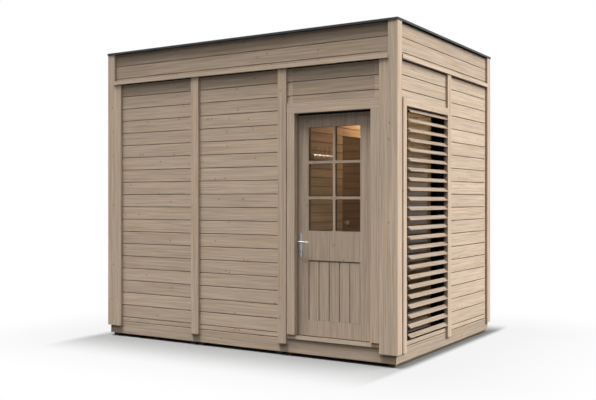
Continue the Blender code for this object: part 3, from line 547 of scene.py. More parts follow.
def mark_timber(piece: bpy.types.Object, grain: np.ndarray, tone: np.ndarray) -> None:
    """Give each point its place in the log and its tone, which the spruce patterns read.

    Args:
        piece: The timber piece.
        grain: Place in the log, one row each.
        tone: Tone, one value each.
    """
    for name, kind, key, values in (("grain", "FLOAT_VECTOR", "vector", grain),
                                    ("tone", "FLOAT", "value", tone)):
        attribute = piece.data.attributes.new(name, kind, "POINT")
        attribute.data.foreach_set(key, values.astype(np.float32).ravel())


@dataclass
class Joinery:
    """Closed boards gathered for one mesh, each with its own place in a log and its own tone."""
    name: str
    seed: int = 1
    # Painted shade below 0 or painted light above 0, added to the random tone of every board
    shade: float = 0.0
    station_gap: float = 0.08
    points: list[np.ndarray] = field(default_factory=list)
    grain: list[np.ndarray] = field(default_factory=list)
    tone: list[np.ndarray] = field(default_factory=list)
    faces: list[list[int]] = field(default_factory=list)

    def __post_init__(self) -> None:
        """Start the seeded choice of logs and tones."""
        self.dice = np.random.default_rng(self.seed)
        self.total = 0

    def run(self, corners: np.ndarray, axis: Axis, start: float, stop: float, ease: float = 0.002,
            wander: float = 0.0, log: tuple[float, float, float] | None = None) -> None:
        """Carry a profile straight along an axis, as a board.

        Point (s, p) is profile point p at station s.  With a wander, the two edges of the board move
        in and out along it by a sum of three sine waves each.

        Args:
            corners: Corners of the profile on the two axes that follow this one in the order X, Y, Z.
            axis: Direction of the board's length.
            start: Where it starts on that axis.
            stop: Where it ends.
            ease: Rounding of its long edges.
            wander: How far its long edges stray from straight.
            log: Place in the log, or None for a place by chance.
        """
        profile = eased(np.asarray(corners, float), ease)
        rows = max(2, int((stop - start) / self.station_gap)) if wander else 2
        stations = np.linspace(start, stop, rows)
        flat = np.repeat(profile[None], rows, axis=0)
        size = np.ptp(profile, axis=0)
        wide = int(size[1] > size[0])
        middle = profile.min(axis=0) + size / 2
        if wander:
            waves = self.dice.uniform(4, 22, (2, 3, 1))
            phases = self.dice.uniform(0, 2 * math.pi, (2, 3, 1))
            stray = np.sin(waves * stations[None, None] + phases).sum(axis=1) * wander / 2
            upper = profile[:, wide] > middle[wide]
            flat[..., wide] += np.where(upper[None], stray[0][:, None], stray[1][:, None])
        points = np.empty((rows, len(profile), 3))
        points[..., axis.value] = stations[:, None]
        points[..., (axis.value + 1) % 3] = flat[..., 0]
        points[..., (axis.value + 2) % 3] = flat[..., 1]
        # By chance: anywhere along the log, near its middle, and 25 to 90 mm off its heart
        by_chance = (self.dice.uniform(-30, 30), self.dice.uniform(-0.05, 0.05),
                     self.dice.choice([-1, 1]) * self.dice.uniform(0.025, 0.09))
        heart = np.array(log if log is not None else by_chance)
        local = np.empty_like(points)
        local[..., 0] = points[..., axis.value]
        local[..., 1] = flat[..., wide] - middle[wide]
        local[..., 2] = flat[..., 1 - wide] - middle[1 - wide]
        self.points.append(points.reshape(-1, 3))
        self.grain.append((local + heart).reshape(-1, 3))
        self.tone.append(np.full(rows * len(profile), self.dice.random() + self.shade))
        self.faces += tube_faces(rows, len(profile), self.total)
        self.total += rows * len(profile)

    def board(self, low: tuple, high: tuple, axis: Axis, ease: float = 0.002, wander: float = 0.0,
              log: tuple[float, float, float] | None = None) -> None:
        """Add a board between two opposite corners.

        Args:
            low: Lowest corner.
            high: Highest corner.
            axis: Direction of its length.
            ease: Rounding of its long edges.
            wander: How far its long edges stray from straight.
            log: Place in the log, or None for a place by chance.
        """
        self.run(end_face(low, high, axis), axis, low[axis.value], high[axis.value], ease, wander, log)

    def make(self, finish: SawnSpruce, body: Body = Body.CABIN, nodes: tuple[str, ...] = ()) -> None:
        """Turn the gathered boards into one piece.

        Args:
            finish: Timber finish.
            body: Body that the piece rides on.
            nodes: CAD nodes that the piece stands for.
        """
        piece = put_in_scene(self.name, np.concatenate(self.points), self.faces, finish, body, nodes)
        mark_timber(piece, np.concatenate(self.grain), np.concatenate(self.tone))


@dataclass
class Fittings:
    """Turned, bent and flat metal parts gathered for one mesh."""
    name: str
    points: list[np.ndarray] = field(default_factory=list)
    faces: list[list[int]] = field(default_factory=list)
    total: int = 0

    def keep(self, points: np.ndarray, faces: list[list[int]]) -> None:
        """Take in the points and faces of one part.

        Args:
            points: Its points.
            faces: Its faces, numbered from the present total.
        """
        self.points.append(points.reshape(-1, 3))
        self.faces += faces
        self.total += self.points[-1].shape[0]

    def bent(self, path: np.ndarray, radii: np.ndarray, up: tuple[float, float, float],
             around: int = 14) -> None:
        """Add a bent bar: an oval section carried along a path, with both ends capped.

        Point (s, a) is path point s, plus its side direction times its first radius times cos a,
        plus its rise direction times its second radius times sin a.  Side and rise stand square to
        the path.

        Args:
            path: Points of its middle line, one row each.
            radii: First and second radius at each of them.
            up: A direction square to the plane of the path.
            around: Points in a ring.
        """
        along = np.gradient(path, axis=0)
        along /= np.linalg.norm(along, axis=1, keepdims=True)
        side = np.cross(along, np.asarray(up, float))
        side /= np.linalg.norm(side, axis=1, keepdims=True)
        rise = np.cross(along, side)
        angle = np.linspace(0, 2 * math.pi, around, endpoint=False)[None, :, None]
        points = (path[:, None] + side[:, None] * radii[:, None, :1] * np.cos(angle)
                  + rise[:, None] * radii[:, None, 1:] * np.sin(angle))
        self.keep(points, tube_faces(len(path), around, self.total))

    def turned(self, base: tuple[float, float, float], axis: Axis, profile: np.ndarray, way: int = 1,
               around: int = 24) -> None:
        """Add a part turned about an axis.

        Args:
            base: Point on the axis that distances count from.
            axis: Direction of the axis.
            profile: Distance along the axis and radius, one row each.
            way: +1 where distances count up the axis, otherwise -1.
            around: Points in a ring.
        """
        path = np.tile(np.asarray(base, float), (len(profile), 1))
        path[:, axis.value] += way * profile[:, 0]
        up = np.roll((0.0, 1.0, 0.0), axis.value)
        self.bent(path, np.repeat(profile[:, 1:], 2, axis=1), tuple(up), around)

    def slab(self, low: tuple, high: tuple, axis: Axis, ease: float = 0.001) -> None:
        """Add a flat bar between two opposite corners, with its long edges rounded.

        Args:
            low: Lowest corner.
            high: Highest corner.
            axis: Direction of its length.
            ease: Rounding of its long edges.
        """
        profile = eased(end_face(low, high, axis), ease, 2)
        points = np.empty((2, len(profile), 3))
        points[..., axis.value] = np.array([[low[axis.value]], [high[axis.value]]])
        points[..., (axis.value + 1) % 3] = profile[:, 0]
        points[..., (axis.value + 2) % 3] = profile[:, 1]
        self.keep(points, tube_faces(2, len(profile), self.total))

    def make(self, finish: Finish, body: Body = Body.CABIN,
             nodes: tuple[str, ...] = ()) -> bpy.types.Object:
        """Turn the gathered parts into one piece.

        Args:
            finish: Finish of the piece.
            body: Body that it rides on.
            nodes: CAD nodes that it stands for.
        Returns:
            The object.
        """
        return put_in_scene(self.name, np.concatenate(self.points), self.faces, finish, body, nodes)


@dataclass
class BoardedWalls:
    """Wall panels: a core with weatherboards outside and narrow lining boards inside."""
    first_joint: float = 0.1706
    pitch: float = 0.10646
    board_depth: float = 0.018
    joint_depth: float = 0.0165
    joint_gap: float = 0.0044
    joint_ease: float = 0.0016
    wander: float = 0.0003
    lining_pitch: float = 0.0730
    lining_depth: float = 0.014
    lining_gap: float = 0.0055
    lining_joint_depth: float = 0.010
    lining_ease: float = 0.0025
    narrowest: float = 0.01
    top_margin: float = 0.02
    window: tuple[float, float, float, float] = (-0.8187, -0.0377, 0.1662, 1.8658)
    # Painted shade under the fascia over the door and on the window part of the side, painted light on
    # its rear part
    painted_shades: dict[str, float] = field(default_factory=lambda: {"front_wall_over_door": -1.4,
                                                              "right_wall_front": -0.4,
                                                              "right_wall_rear": 0.4})

    @staticmethod
    def left_by(z_low: float, z_high: float, start: float, stop: float,
                hole: tuple[float, float, float, float] | None) -> list[tuple]:
        """Parts of a board that an opening leaves.

        Args:
            z_low: Lower edge of the board.
            z_high: Upper edge.
            start: Start of the board along the wall.
            stop: End of the board.
            hole: The opening's start, stop, bottom and top, or None.
        Returns:
            Lower edge, upper edge, start and stop of each part.
        """
        if hole is None or z_high <= hole[2] or z_low >= hole[3]:
            return [(z_low, z_high, start, stop)]
        parts = []
        if z_low < hole[2]:
            parts.append((z_low, hole[2], start, stop))
        if z_high > hole[3]:
            parts.append((hole[3], z_high, start, stop))
        low, high = max(z_low, hole[2]), min(z_high, hole[3])
        return parts + [(low, high, start, hole[0]), (low, high, hole[1], stop)]

    def panel(self, node: str, axis: Axis, side: int, seed: int,
              hole: tuple[float, float, float, float] | None = None) -> None:
        """Weatherboards, core and lining of one panel, in place of its CAD slab.

        Args:
            node: CAD node of the panel.
            axis: Direction that the wall runs in.
            side: +1 where the wall faces up its normal axis, otherwise -1.
            seed: Seed of the boards' logs.
            hole: Opening in the panel, or None.
        """
        low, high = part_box(node)
        normal = 1 - axis.value
        outer, inner = (high[normal], low[normal]) if side > 0 else (low[normal], high[normal])
        start, stop = low[axis.value], high[axis.value]

        def add(target: Joinery, face: float, depth: float, bottom: float, top: float, ease: float,
                wander: float, way: int) -> None:
            """Add one board whose face lies at a place on the normal axis, split by the opening.

            Args:
                target: Boards that it joins.
                face: Place of its face on the normal axis.
                depth: Its thickness.
                bottom: Its lower edge.
                top: Its upper edge.
                ease: Rounding of its long edges.
                wander: How far its long edges stray from straight.
                way: +1 where its face looks up the normal axis, otherwise -1.
            """
            for z_low, z_high, first, last in self.left_by(bottom, top, start, stop, hole):
                target.board(*wall_box(axis, (face, face - way * depth), (first, last), (z_low, z_high)),
                             axis, ease, wander)

        outside = Joinery("boards_" + node, seed, self.painted_shades.get(node, 0.0))
        rows = np.arange(self.first_joint, high[2] - self.top_margin, self.pitch)
        joints = np.concatenate([[low[2]], rows[rows > low[2]], [high[2]]])
        half = self.joint_gap / 2
        for bottom, top in zip(joints[:-1], joints[1:]):
            add(outside, outer, self.board_depth, bottom + half, top - half, self.joint_ease,
                self.wander, side)
        # Painted shade: the core behind the weatherboard joints is darkened
        outside.shade = JOINT_PAINTED_SHADE
        add(outside, outer - side * self.joint_depth,
            abs(outer - inner) - self.joint_depth - self.lining_joint_depth, low[2], high[2], 0.001, 0.0,
            side)
        outside.make(STAINED, nodes=(node,))
        inside = Joinery("lining_" + node, seed + 50)
        half = self.lining_gap / 2
        for bottom in np.arange(low[2], high[2], self.lining_pitch):
            top = min(bottom + self.lining_pitch, high[2])
            if top - bottom > self.narrowest:
                add(inside, inner, self.lining_depth, bottom + half, top - half, self.lining_ease, 0.0,
                    -side)
        inside.make(NATURAL)

    def build(self) -> None:
        """Dress every outer wall."""
        for seed, place in enumerate(("left", "middle", "beside_door_left", "beside_door_right",
                                      "over_door"), 11):
            self.panel("front_wall_" + place, Axis.X, -1, seed)
        self.panel("right_wall_front", Axis.Y, 1, 21, self.window)
        self.panel("right_wall_rear", Axis.Y, 1, 22)
        self.panel("left_wall", Axis.Y, -1, 23)
        self.panel("back_wall", Axis.X, 1, 24)


@dataclass
class Trim:
    """Flat boards over the corners and panel joints, and round the door and the window."""
    thickness: float = 0.018
    ease: float = 0.0012
    casing_width: float = 0.068
    casing_head: float = 0.080
    head_ease: float = 0.0004

    def corner(self, node: str, side_x: int, side_y: int, seed: int) -> None:
        """L-shaped corner post, carried up from its foot.

        Args:
            node: CAD node that it stands for.
            side_x: +1 at the right end, -1 at the left.
            side_y: +1 at the back, -1 at the front.
            seed: Seed of its log.
        """
        low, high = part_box(node)
        outer = np.array([high[0] if side_x > 0 else low[0], high[1] if side_y > 0 else low[1]])
        inward = np.array([-side_x, -side_y])
        width, thick = high[0] - low[0], self.thickness
        legs = np.array([(0, 0), (width, 0), (width, thick), (thick, thick), (thick, width),
                         (0, width)])
        post = Joinery("post_" + node, seed)
        post.run(outer + legs * inward, Axis.Z, low[2], high[2], self.ease)
        post.make(STAINED, nodes=(node,))

    def upright(self, node: str, seed: int, axis: Axis = Axis.Z) -> None:
        """One straight board in the place of its CAD node.

        Args:
            node: CAD node that it stands for.
            seed: Seed of its log.
            axis: Direction of its grain.
        """
        low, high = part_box(node)
        board = Joinery("board_" + node, seed)
        board.board(tuple(low), tuple(high), axis, self.ease)
        board.make(STAINED, nodes=(node,))

    def casing(self) -> None:
        """Two side boards under a head board round the doorway."""
        low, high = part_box("door_casing")
        boards = Joinery("casing_boards", 61)
        under = high[2] - self.casing_head
        for left in (low[0], high[0] - self.casing_width):
            boards.board((left, low[1], low[2]), (left + self.casing_width, high[1], under), Axis.Z,
                         self.ease)
        boards.board((low[0], low[1], under), tuple(high), Axis.X, self.head_ease)
        boards.make(STAINED, nodes=("door_casing",))

    def build(self) -> None:
        """Make every trim board."""
        for seed, (name, side_x, side_y) in enumerate(
                (("front_left", -1, -1), ("front_right", 1, -1),
                 ("back_left", -1, 1), ("back_right", 1, 1)), 31):
            self.corner("corner_board_" + name, side_x, side_y, seed)
        for seed, node in enumerate(("front_batten_left", "front_batten_right", "back_batten_left",
                                     "back_batten_right", "right_batten", "left_batten",
                                     "front_stile_left", "front_stile_right", "window_stile"), 41):
            self.upright(node, seed)
        self.upright("window_head", 51, Axis.Y)
        self.casing()


@dataclass
class FasciaAndRoof:
    """Boarded fascia over its drip batten and a black strip of painted shade, the felted roof and its
    black edging.
    """
    wall_x: float = 1.3817
    wall_y: float = 0.9587
    fascia_thickness: float = 0.030
    drip_height: float = 0.029
    drip_ease: float = 0.0004
    # Painted light on the drip batten, painted shade on the fascia boards, deepest on the front
    drip_painted_light: float = 1.1
    front_fascia_painted_shade: float = -1.9
    fascia_painted_shade: float = -1.2
    shade_strip_height: float = 0.008
    shade_strip_depth: float = 0.002
    shade_strip_root: float = 0.001
    joints: tuple[float, ...] = (2.247, 2.355)
    joint_gap: float = 0.0030
    joint_ease: float = 0.0032
    joint_depth: float = 0.012
    board_depth: float = 0.018
    wander: float = 0.0006
    roof_fall: float = 0.030
    strips: int = 3
    strip_margin: float = 0.02
    lap: float = 0.080
    felt: float = 0.004
    felt_inset: float = 0.004
    felt_edge: float = 0.09
    upstand_top: float = 2.4604
    upstand_foot: float = 0.030
    upstand_hidden: float = 0.08
    sheet: float = 0.004
    sheet_width: float = 0.070
    sheet_hem: float = 0.006
    ceiling_pitch: float = 0.0730
    ceiling_gap: float = 0.0006
    ceiling_low: tuple[float, float, float] = (-1.30, -0.8830, 2.1835)
    ceiling_high: tuple[float, float, float] = (1.3060, 0.8830, 2.1955)

    def fascia(self, node: str, axis: Axis, side: int, seed: int) -> None:
        """Fascia boards, their core and the drip batten of one side.

        Args:
            node: CAD node that they stand for.
            axis: Direction of the side.
            side: +1 where it faces up its normal axis, otherwise -1.
            seed: Seed of the boards' logs.
        """
        low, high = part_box(node)
        normal = 1 - axis.value
        face = side * (self.wall_x if normal == 0 else self.wall_y)
        back = face - side * self.fascia_thickness
        front = high[normal] if side > 0 else low[normal]
        stations = low[axis.value], high[axis.value]
        boards = Joinery("boards_" + node, seed, self.drip_painted_light)
        drip_top = low[2] + self.drip_height
        boards.board(*wall_box(axis, (front, back), stations, (low[2], drip_top)), axis, self.drip_ease)
        boards.shade = self.front_fascia_painted_shade if (axis, side) == (Axis.X, -1) else self.fascia_painted_shade
        edges = [drip_top, *self.joints, high[2]]
        half = self.joint_gap / 2
        for bottom, top in zip(edges[:-1], edges[1:]):
            boards.board(*wall_box(axis, (face, face - side * self.board_depth), stations,
                                   (bottom + half, top - half)), axis, self.joint_ease, self.wander)
        boards.board(*wall_box(axis, (face - side * self.joint_depth, back), stations,
                               (drip_top, high[2])), axis, 0.001)
        boards.make(STAINED, nodes=(node,))
        # Painted shade: a black strip under the drip batten, where the wall lies in shade
        shade_strip = Fittings("shade_strip_under_" + node)
        shade_strip.slab(*wall_box(axis, (face + side * self.shade_strip_depth, face - side * self.shade_strip_root), stations,
                            (low[2] - self.shade_strip_height, low[2] - 0.0002)), axis, 0.0005)
        shade_strip.make(SHADE_STRIP)

    def felted_deck(self) -> None:
        """Sloping deck, three strips of felt that lap on it and the felt that turns up at its edges."""
        low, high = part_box("roof_deck")
        front_top = high[2]
        slope = -self.roof_fall / (high[1] - low[1])
        points, faces = [], []

        def slab(x_low: float, x_high: float, y_low: float, y_high: float, lift: float,
                 under: float) -> None:
            """Add a closed slab whose top follows the fall of the roof.

            Args:
                x_low: Its left end.
                x_high: Its right end.
                y_low: Its front edge.
                y_high: Its rear edge.
                lift: Height of its top over the line of the fall.
                under: Height of its flat underside.
            """
            tops = [front_top + slope * (y - low[1]) + lift for y in (y_low, y_high)]
            ring = np.array([(y_low, under), (y_high, under), (y_high, tops[1]), (y_low, tops[0])])
            profile = eased(ring, 0.0015, 2)
            stack = np.stack([np.column_stack([np.full(len(profile), x), profile])
                              for x in (x_low, x_high)])
            faces.extend(tube_faces(2, len(profile), sum(len(p) for p in points)))
            points.append(stack.reshape(-1, 3))

        slab(low[0], high[0], low[1], high[1], -self.felt * 3, low[2])
        edges = np.linspace(low[0] + self.strip_margin, high[0] - self.strip_margin, self.strips + 1)
        for number, (left, right) in enumerate(zip(edges[:-1], edges[1:])):
            over = self.lap if number else 0.0
            slab(left - over, right, low[1] + self.felt_inset, high[1] - self.felt_inset,
                 -self.felt * (2 - number % 2), front_top - self.felt_edge)
        put_in_scene("roof_felt_strips", np.concatenate(points), faces, FELT, Body.CABIN,
                     ("roof_deck",))
        inward = self.fascia_thickness + HAIR
        foot, hidden = -self.upstand_foot, front_top - self.upstand_hidden
        section = eased(np.array([(0.0, hidden), (0.0, self.upstand_top), (-self.felt, self.upstand_top),
                                  (-self.felt - 0.001, front_top + 0.02), (foot, front_top - self.felt),
                                  (foot, hidden)]), self.felt, 3)
        self.ring("roof_felt_upstand", self.wall_x - inward, self.wall_y - inward, section, FELT)

    @staticmethod
    def ring(name: str, half_x: float, half_y: float, section: np.ndarray, finish: Finish,
             nodes: tuple[str, ...] = ()) -> None:
        """A section carried round a level rectangle with mitred corners.

        Args:
            name: Name of the piece.
            half_x: Half of the rectangle along X.
            half_y: Half of it along Y.
            section: Closed profile as (outward, height).
            finish: Finish of the piece.
            nodes: CAD nodes that it stands for.
        """
        corners = np.array([(1, -1), (-1, -1), (-1, 1), (1, 1)])
        points = carried_round(corners * (half_x, half_y), corners, section)
        put_in_scene(name, points.reshape(-1, 3), tube_faces(4, len(section), ring=True), finish,
                     Body.CABIN, nodes)

    def edging(self) -> None:
        """Black sheet folded over the top of the fascia, with a hem along its outer foot."""
        low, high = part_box("roof_edging")
        inner, sheet, hem = -self.sheet_width, self.sheet, low[2] + self.sheet_hem
        section = np.array([(0.0, low[2]), (0.0, high[2] - 0.001), (inner / 2, high[2]),
                            (inner, high[2] - 0.002), (inner, low[2]), (inner + sheet, low[2]),
                            (inner + sheet, hem), (-sheet, hem), (-sheet, low[2])])
        self.ring("edging_sheet", high[0], high[1], eased(section, 0.0015, 3), BLACK_PAINT,
                  ("roof_edging",))

    def ceiling(self) -> None:
        """Lining boards under the roof deck."""
        boards = Joinery("ceiling_boards", 75)
        (first, front, under), (last, back, top) = self.ceiling_low, self.ceiling_high
        for left in np.arange(first, -first, self.ceiling_pitch):
            right = min(left + self.ceiling_pitch, last)
            boards.board((left + self.ceiling_gap, front, under), (right - self.ceiling_gap, back, top),
                         Axis.Y, 0.0025)
        boards.make(NATURAL)

    def build(self) -> None:
        """Make the fascia, the roof and its edging."""
        for seed, (name, axis, side) in enumerate((("front", Axis.X, -1), ("back", Axis.X, 1),
                                                   ("left", Axis.Y, -1), ("right", Axis.Y, 1)), 71):
            self.fascia("fascia_" + name, axis, side, seed)
        self.felted_deck()
        self.edging()
        self.ceiling()


@dataclass
class Base:
    """Bearers on the ground, the boarded floor and the plinth boards."""
    floor_pitch: float = 0.095
    floor_board: float = 0.020
    floor_overlap: float = 0.006
    floor_gap: float = 0.0006
    narrowest: float = 0.01
    plinth_drop: float = 0.0012
    # Painted shade on the plinth boards, deeper on the two sides
    plinth_painted_shade: float = -0.9
    side_plinth_painted_shade: float = -2.4

    def build(self) -> None:
        """Make the bearers, the floor and the plinth."""
        bearers = Joinery("bearer_timbers", 81)
        names = tuple(f"bearer_{number}" for number in range(1, 7))
        for name in names:
            low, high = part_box(name)
            bearers.board(tuple(low), tuple(high), Axis.Y, 0.003)
        bearers.make(IMPREGNATED, nodes=names)
        low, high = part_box("floor")
        floor = Joinery("floor_boards", 82)
        under = high[2] - self.floor_board
        floor.board(tuple(low), (high[0], high[1], under + self.floor_overlap), Axis.X, 0.001)
        for front in np.arange(low[1], high[1], self.floor_pitch):
            back = min(front + self.floor_pitch, high[1])
            if back - front > self.narrowest:
                floor.board((low[0], front + self.floor_gap, under),
                            (high[0], back - self.floor_gap, high[2]), Axis.X, 0.0025)
        floor.make(NATURAL, nodes=("floor",))
        plinth = Joinery("plinth_boards", 83)
        for name, axis in (("front", Axis.X), ("back", Axis.X), ("left", Axis.Y), ("right", Axis.Y)):
            low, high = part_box("plinth_" + name)
            plinth.shade = self.plinth_painted_shade if axis is Axis.X else self.side_plinth_painted_shade
            plinth.board(tuple(low), (high[0], high[1], high[2] - self.plinth_drop), axis, 0.003,
                         0.0004)
        plinth.make(STAINED, nodes=("plinth_front", "plinth_back", "plinth_left", "plinth_right"))


@dataclass
class EntranceDoor:
    """Door frame and the leaf in it: two panes behind beads, crossed bars, a boarded panel below, a lever
    on lancet plates, hinges, and black strips of painted shade over the leaf and on its top edge."""
    stile: float = 0.0925
    top_rail: float = 0.103
    bottom_rail: float = 0.120
    panel_height: float = 0.449
    glazing_height: float = 0.779
    bar: float = 0.020
    upper_bar_drop: float = 0.266
    lower_bar_rise: float = 0.246
    panel_boards: int = 5
    panel_set_back: float = 0.0025
    panel_gap: float = 0.0062
    panel_top_gap: float = 0.008
    panel_core_depth: float = 0.012
    corner_radius: float = 0.010
    bead: float = 0.004
    pane: float = 0.004
    pane_depth: float = 0.0065
    top_shade_strip: float = 0.011
    # Painted shade on the door posts and on the leaf, both set back in the doorway
    post_painted_shade: float = -2.2
    leaf_painted_shade: float = -1.4
    bead_shade: float = -0.3
    heart: tuple[float, float, float] = (4.7, 0.012, 0.052)
    doorway: tuple[float, float] = (0.5478, 1.182)
    wall_face: float = -0.9587
    sill_top: float = 0.161
    stop: float = 0.012
    head: float = 1.844
    stop_face: float = -0.898
    inset: float = 0.0015
    plate_rise: float = 0.0027
    plate_rim: float = 0.0003
    plate_lap: float = 0.0020
    spindle: float = 0.8729
    keyhole: float = 0.800
    keyhole_slot: float = 0.0115
    lever_out: float = 0.0385
    lever_bend: float = 0.010
    lever_radius: float = 0.0064
    lever_taper: tuple[float, float] = (0.0014, 0.0026)
    lever_sag: float = 0.0025
    knuckle_radius: float = 0.0060

    def door_frame(self) -> None:
        """Rebated side posts and head, and the sill with its nose."""
        low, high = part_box("door_frame")
        wall, under = self.wall_face, self.head - self.stop
        timbers = Joinery("door_frame_timbers", 91, self.post_painted_shade)
        left, right = self.doorway
        for outer, inner, way in ((low[0], left, 1), (high[0], right, -1)):
            section = [(outer, wall), (inner, wall), (inner, self.stop_face),
                       (inner + way * self.stop, self.stop_face),
                       (inner + way * self.stop, high[1]), (outer, high[1])]
            timbers.run(np.array(section), Axis.Z, low[2], high[2], 0.0015)
        timbers.shade = 0.0
        top = [(wall, self.head), (self.stop_face, self.head), (self.stop_face, under),
               (high[1], under), (high[1], high[2]), (wall, high[2])]
        timbers.run(np.array(top), Axis.X, left, right, 0.0015)
        timbers.board((low[0], wall, low[2]), (high[0], high[1], self.sill_top), Axis.X, 0.0008)
        casing_low, casing_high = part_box("door_casing")
        timbers.board((casing_low[0], low[1], low[2]), (casing_high[0], wall - HAIR, self.sill_top),
                      Axis.X, 0.0008)
        timbers.make(STAINED, nodes=("door_frame",))

    def leaf(self) -> None:
        """Stiles, rails and panel boards with upright grain, glazing bars, and a black strip of painted
        shade on the top edge.
        """
        low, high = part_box("door_leaf")
        face, back = low[1], high[1]
        left, right = low[0] + self.stile, high[0] - self.stile
        glass_top = high[2] - self.top_rail
        glass_bottom = glass_top - self.glazing_height
        panel_bottom = low[2] + self.bottom_rail
        panel_top = panel_bottom + self.panel_height
        leaf = Joinery("door_timbers", 92, self.leaf_painted_shade)
        crown = high[2] - self.top_shade_strip
        for x_low, x_high, z_low, z_high in ((low[0], left, low[2], crown),
                                             (right, high[0], low[2], crown),
                                             (left, right, glass_top, crown),
                                             (left, right, panel_top, glass_bottom),
                                             (left, right, low[2], panel_bottom)):
            # One heart for all, so that the grain runs on from timber to timber
            heart = (self.heart[0], self.heart[1] + (x_low + x_high) / 2, self.heart[2])
            leaf.board((x_low, face, z_low), (x_high, back, z_high), Axis.Z, 0.0006, log=heart)
        centre, half = (left + right) / 2, self.bar / 2
        core, inset = half - self.bead, self.inset
        upper, lower = glass_top - self.upper_bar_drop, glass_bottom + self.lower_bar_rise
        for near, far in ((face + inset, face + self.pane_depth - HAIR),
                          (back - self.pane_depth + HAIR, back - inset)):
            leaf.board((centre - core, near, glass_bottom), (centre + core, far, glass_top), Axis.Z,
                       0.001)
            for level in (upper, lower):
                leaf.board((left, near, level - core), (right, far, level + core), Axis.X, 0.001)
        leaf.board((left, face + self.panel_core_depth, panel_bottom),
                   (right, back - self.panel_core_depth, panel_top), Axis.Z, 0.001)
        edges = np.linspace(left + self.panel_gap / 2, right, self.panel_boards + 1)
        sink, gap = self.panel_set_back, self.panel_gap / 2
        for start, stop in zip(edges[:-1], edges[1:]):
            leaf.board((start + gap, face + sink, panel_bottom + HAIR),
                       (stop - gap, back - sink, panel_top - self.panel_top_gap), Axis.Z, 0.0012)
        leaf.make(STAINED, Body.DOOR, ("door_leaf",))
        # Painted shade: a black strip on the leaf's top edge, under the head
        shade_strip = Fittings("door_top_shade_strip")
        shade_strip.slab((low[0] + inset, face + inset, crown), (high[0] - inset, back - inset, high[2]),
                  Axis.X)
        shade_strip.make(SHADE_STRIP, Body.DOOR)
        self.beads(((left, centre - half), (centre + half, right)),
                   ((glass_bottom, lower - half), (lower + half, upper - half),
                    (upper + half, glass_top)), face, back)

    def beads(self, columns: tuple, rows: tuple, face: float, back: float) -> None:
        """Glazing beads on both faces and the spacer bars between the two panes, round each light.

        Args:
            columns: Left and right edge of each column of lights.
            rows: Lower and upper edge of each row.
            face: Outer face of the leaf.
            back: Inner face of the leaf.
        """
        depth = self.pane_depth - HAIR
        section = np.array([(0.0, depth), (0.0, 0.0030), (0.0012, 0.0013), (self.bead, 0.0006),
                            (self.bead + 0.002, 0.0010), (self.bead + 0.002, depth)])
        angles = np.linspace(0, math.pi / 2, 5)[None] + np.arange(4)[:, None] * math.pi / 2
        ways = np.stack([np.cos(angles), np.sin(angles)], axis=-1)
        # The spacers show a sliver beyond the beads and reach back behind them
        near = self.pane_depth + self.pane + HAIR
        far = back - face - near
        spacer = np.array([(-0.0008, far), (-0.0008, near), (0.0020, near), (0.0020, far)])
        spacers, beads = Fittings("glazing_spacers"), Fittings("glazing_beads")
        r = self.corner_radius
        for x_low, x_high in columns:
            for z_low, z_high in rows:
                centres = np.array([(x_high - r, z_high - r), (x_low + r, z_high - r),
                                    (x_low + r, z_low + r), (x_high - r, z_low + r)])
                path = (centres[:, None] + r * ways).reshape(-1, 2)
                for target, profile, origin, way in ((spacers, spacer, face, 1),
                                                     (beads, section, face, 1),
                                                     (beads, section, back, -1)):
                    ring = carried_round(path, ways.reshape(-1, 2), profile)[:, ::way, [0, 2, 1]]
                    ring[..., 1] = origin + way * ring[..., 1]
                    target.keep(ring, tube_faces(len(path), len(profile), target.total, ring=True))
        spacers.make(SPACER, Body.DOOR)
        piece = beads.make(STAINED, Body.DOOR)
        mark_timber(piece, np.concatenate(beads.points)[:, [2, 0, 1]] + (3.1, 0.02, 0.05),
                    np.full(beads.total, self.bead_shade))

    def glazing(self) -> None:
        """Two panes of the sealed unit, one behind each side's beads, and a black strip of painted shade
        over the leaf.
        """
        low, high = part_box("door_glass")
        leaf_low, leaf_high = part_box("door_leaf")
        panes = Fittings("door_panes")
        for near in (leaf_low[1] + self.pane_depth, leaf_high[1] - self.pane_depth - self.pane):
            panes.slab((low[0], near, low[2]), (high[0], near + self.pane, high[2]), Axis.Z, 0.0005)
        panes.make(DOOR_PANE, Body.DOOR, ("door_glass",))
        # Painted shade: a black strip filling the gap between the leaf and the head
        shade_strip = Fittings("door_head_shade_strip")
        shade_strip.slab((self.doorway[0] + 0.001, leaf_low[1] + 0.001, leaf_high[2] + 0.0012),
                  (self.doorway[1] - 0.001, leaf_high[1], self.head - 0.0002), Axis.X, 0.0008)
        shade_strip.make(SHADE_STRIP)

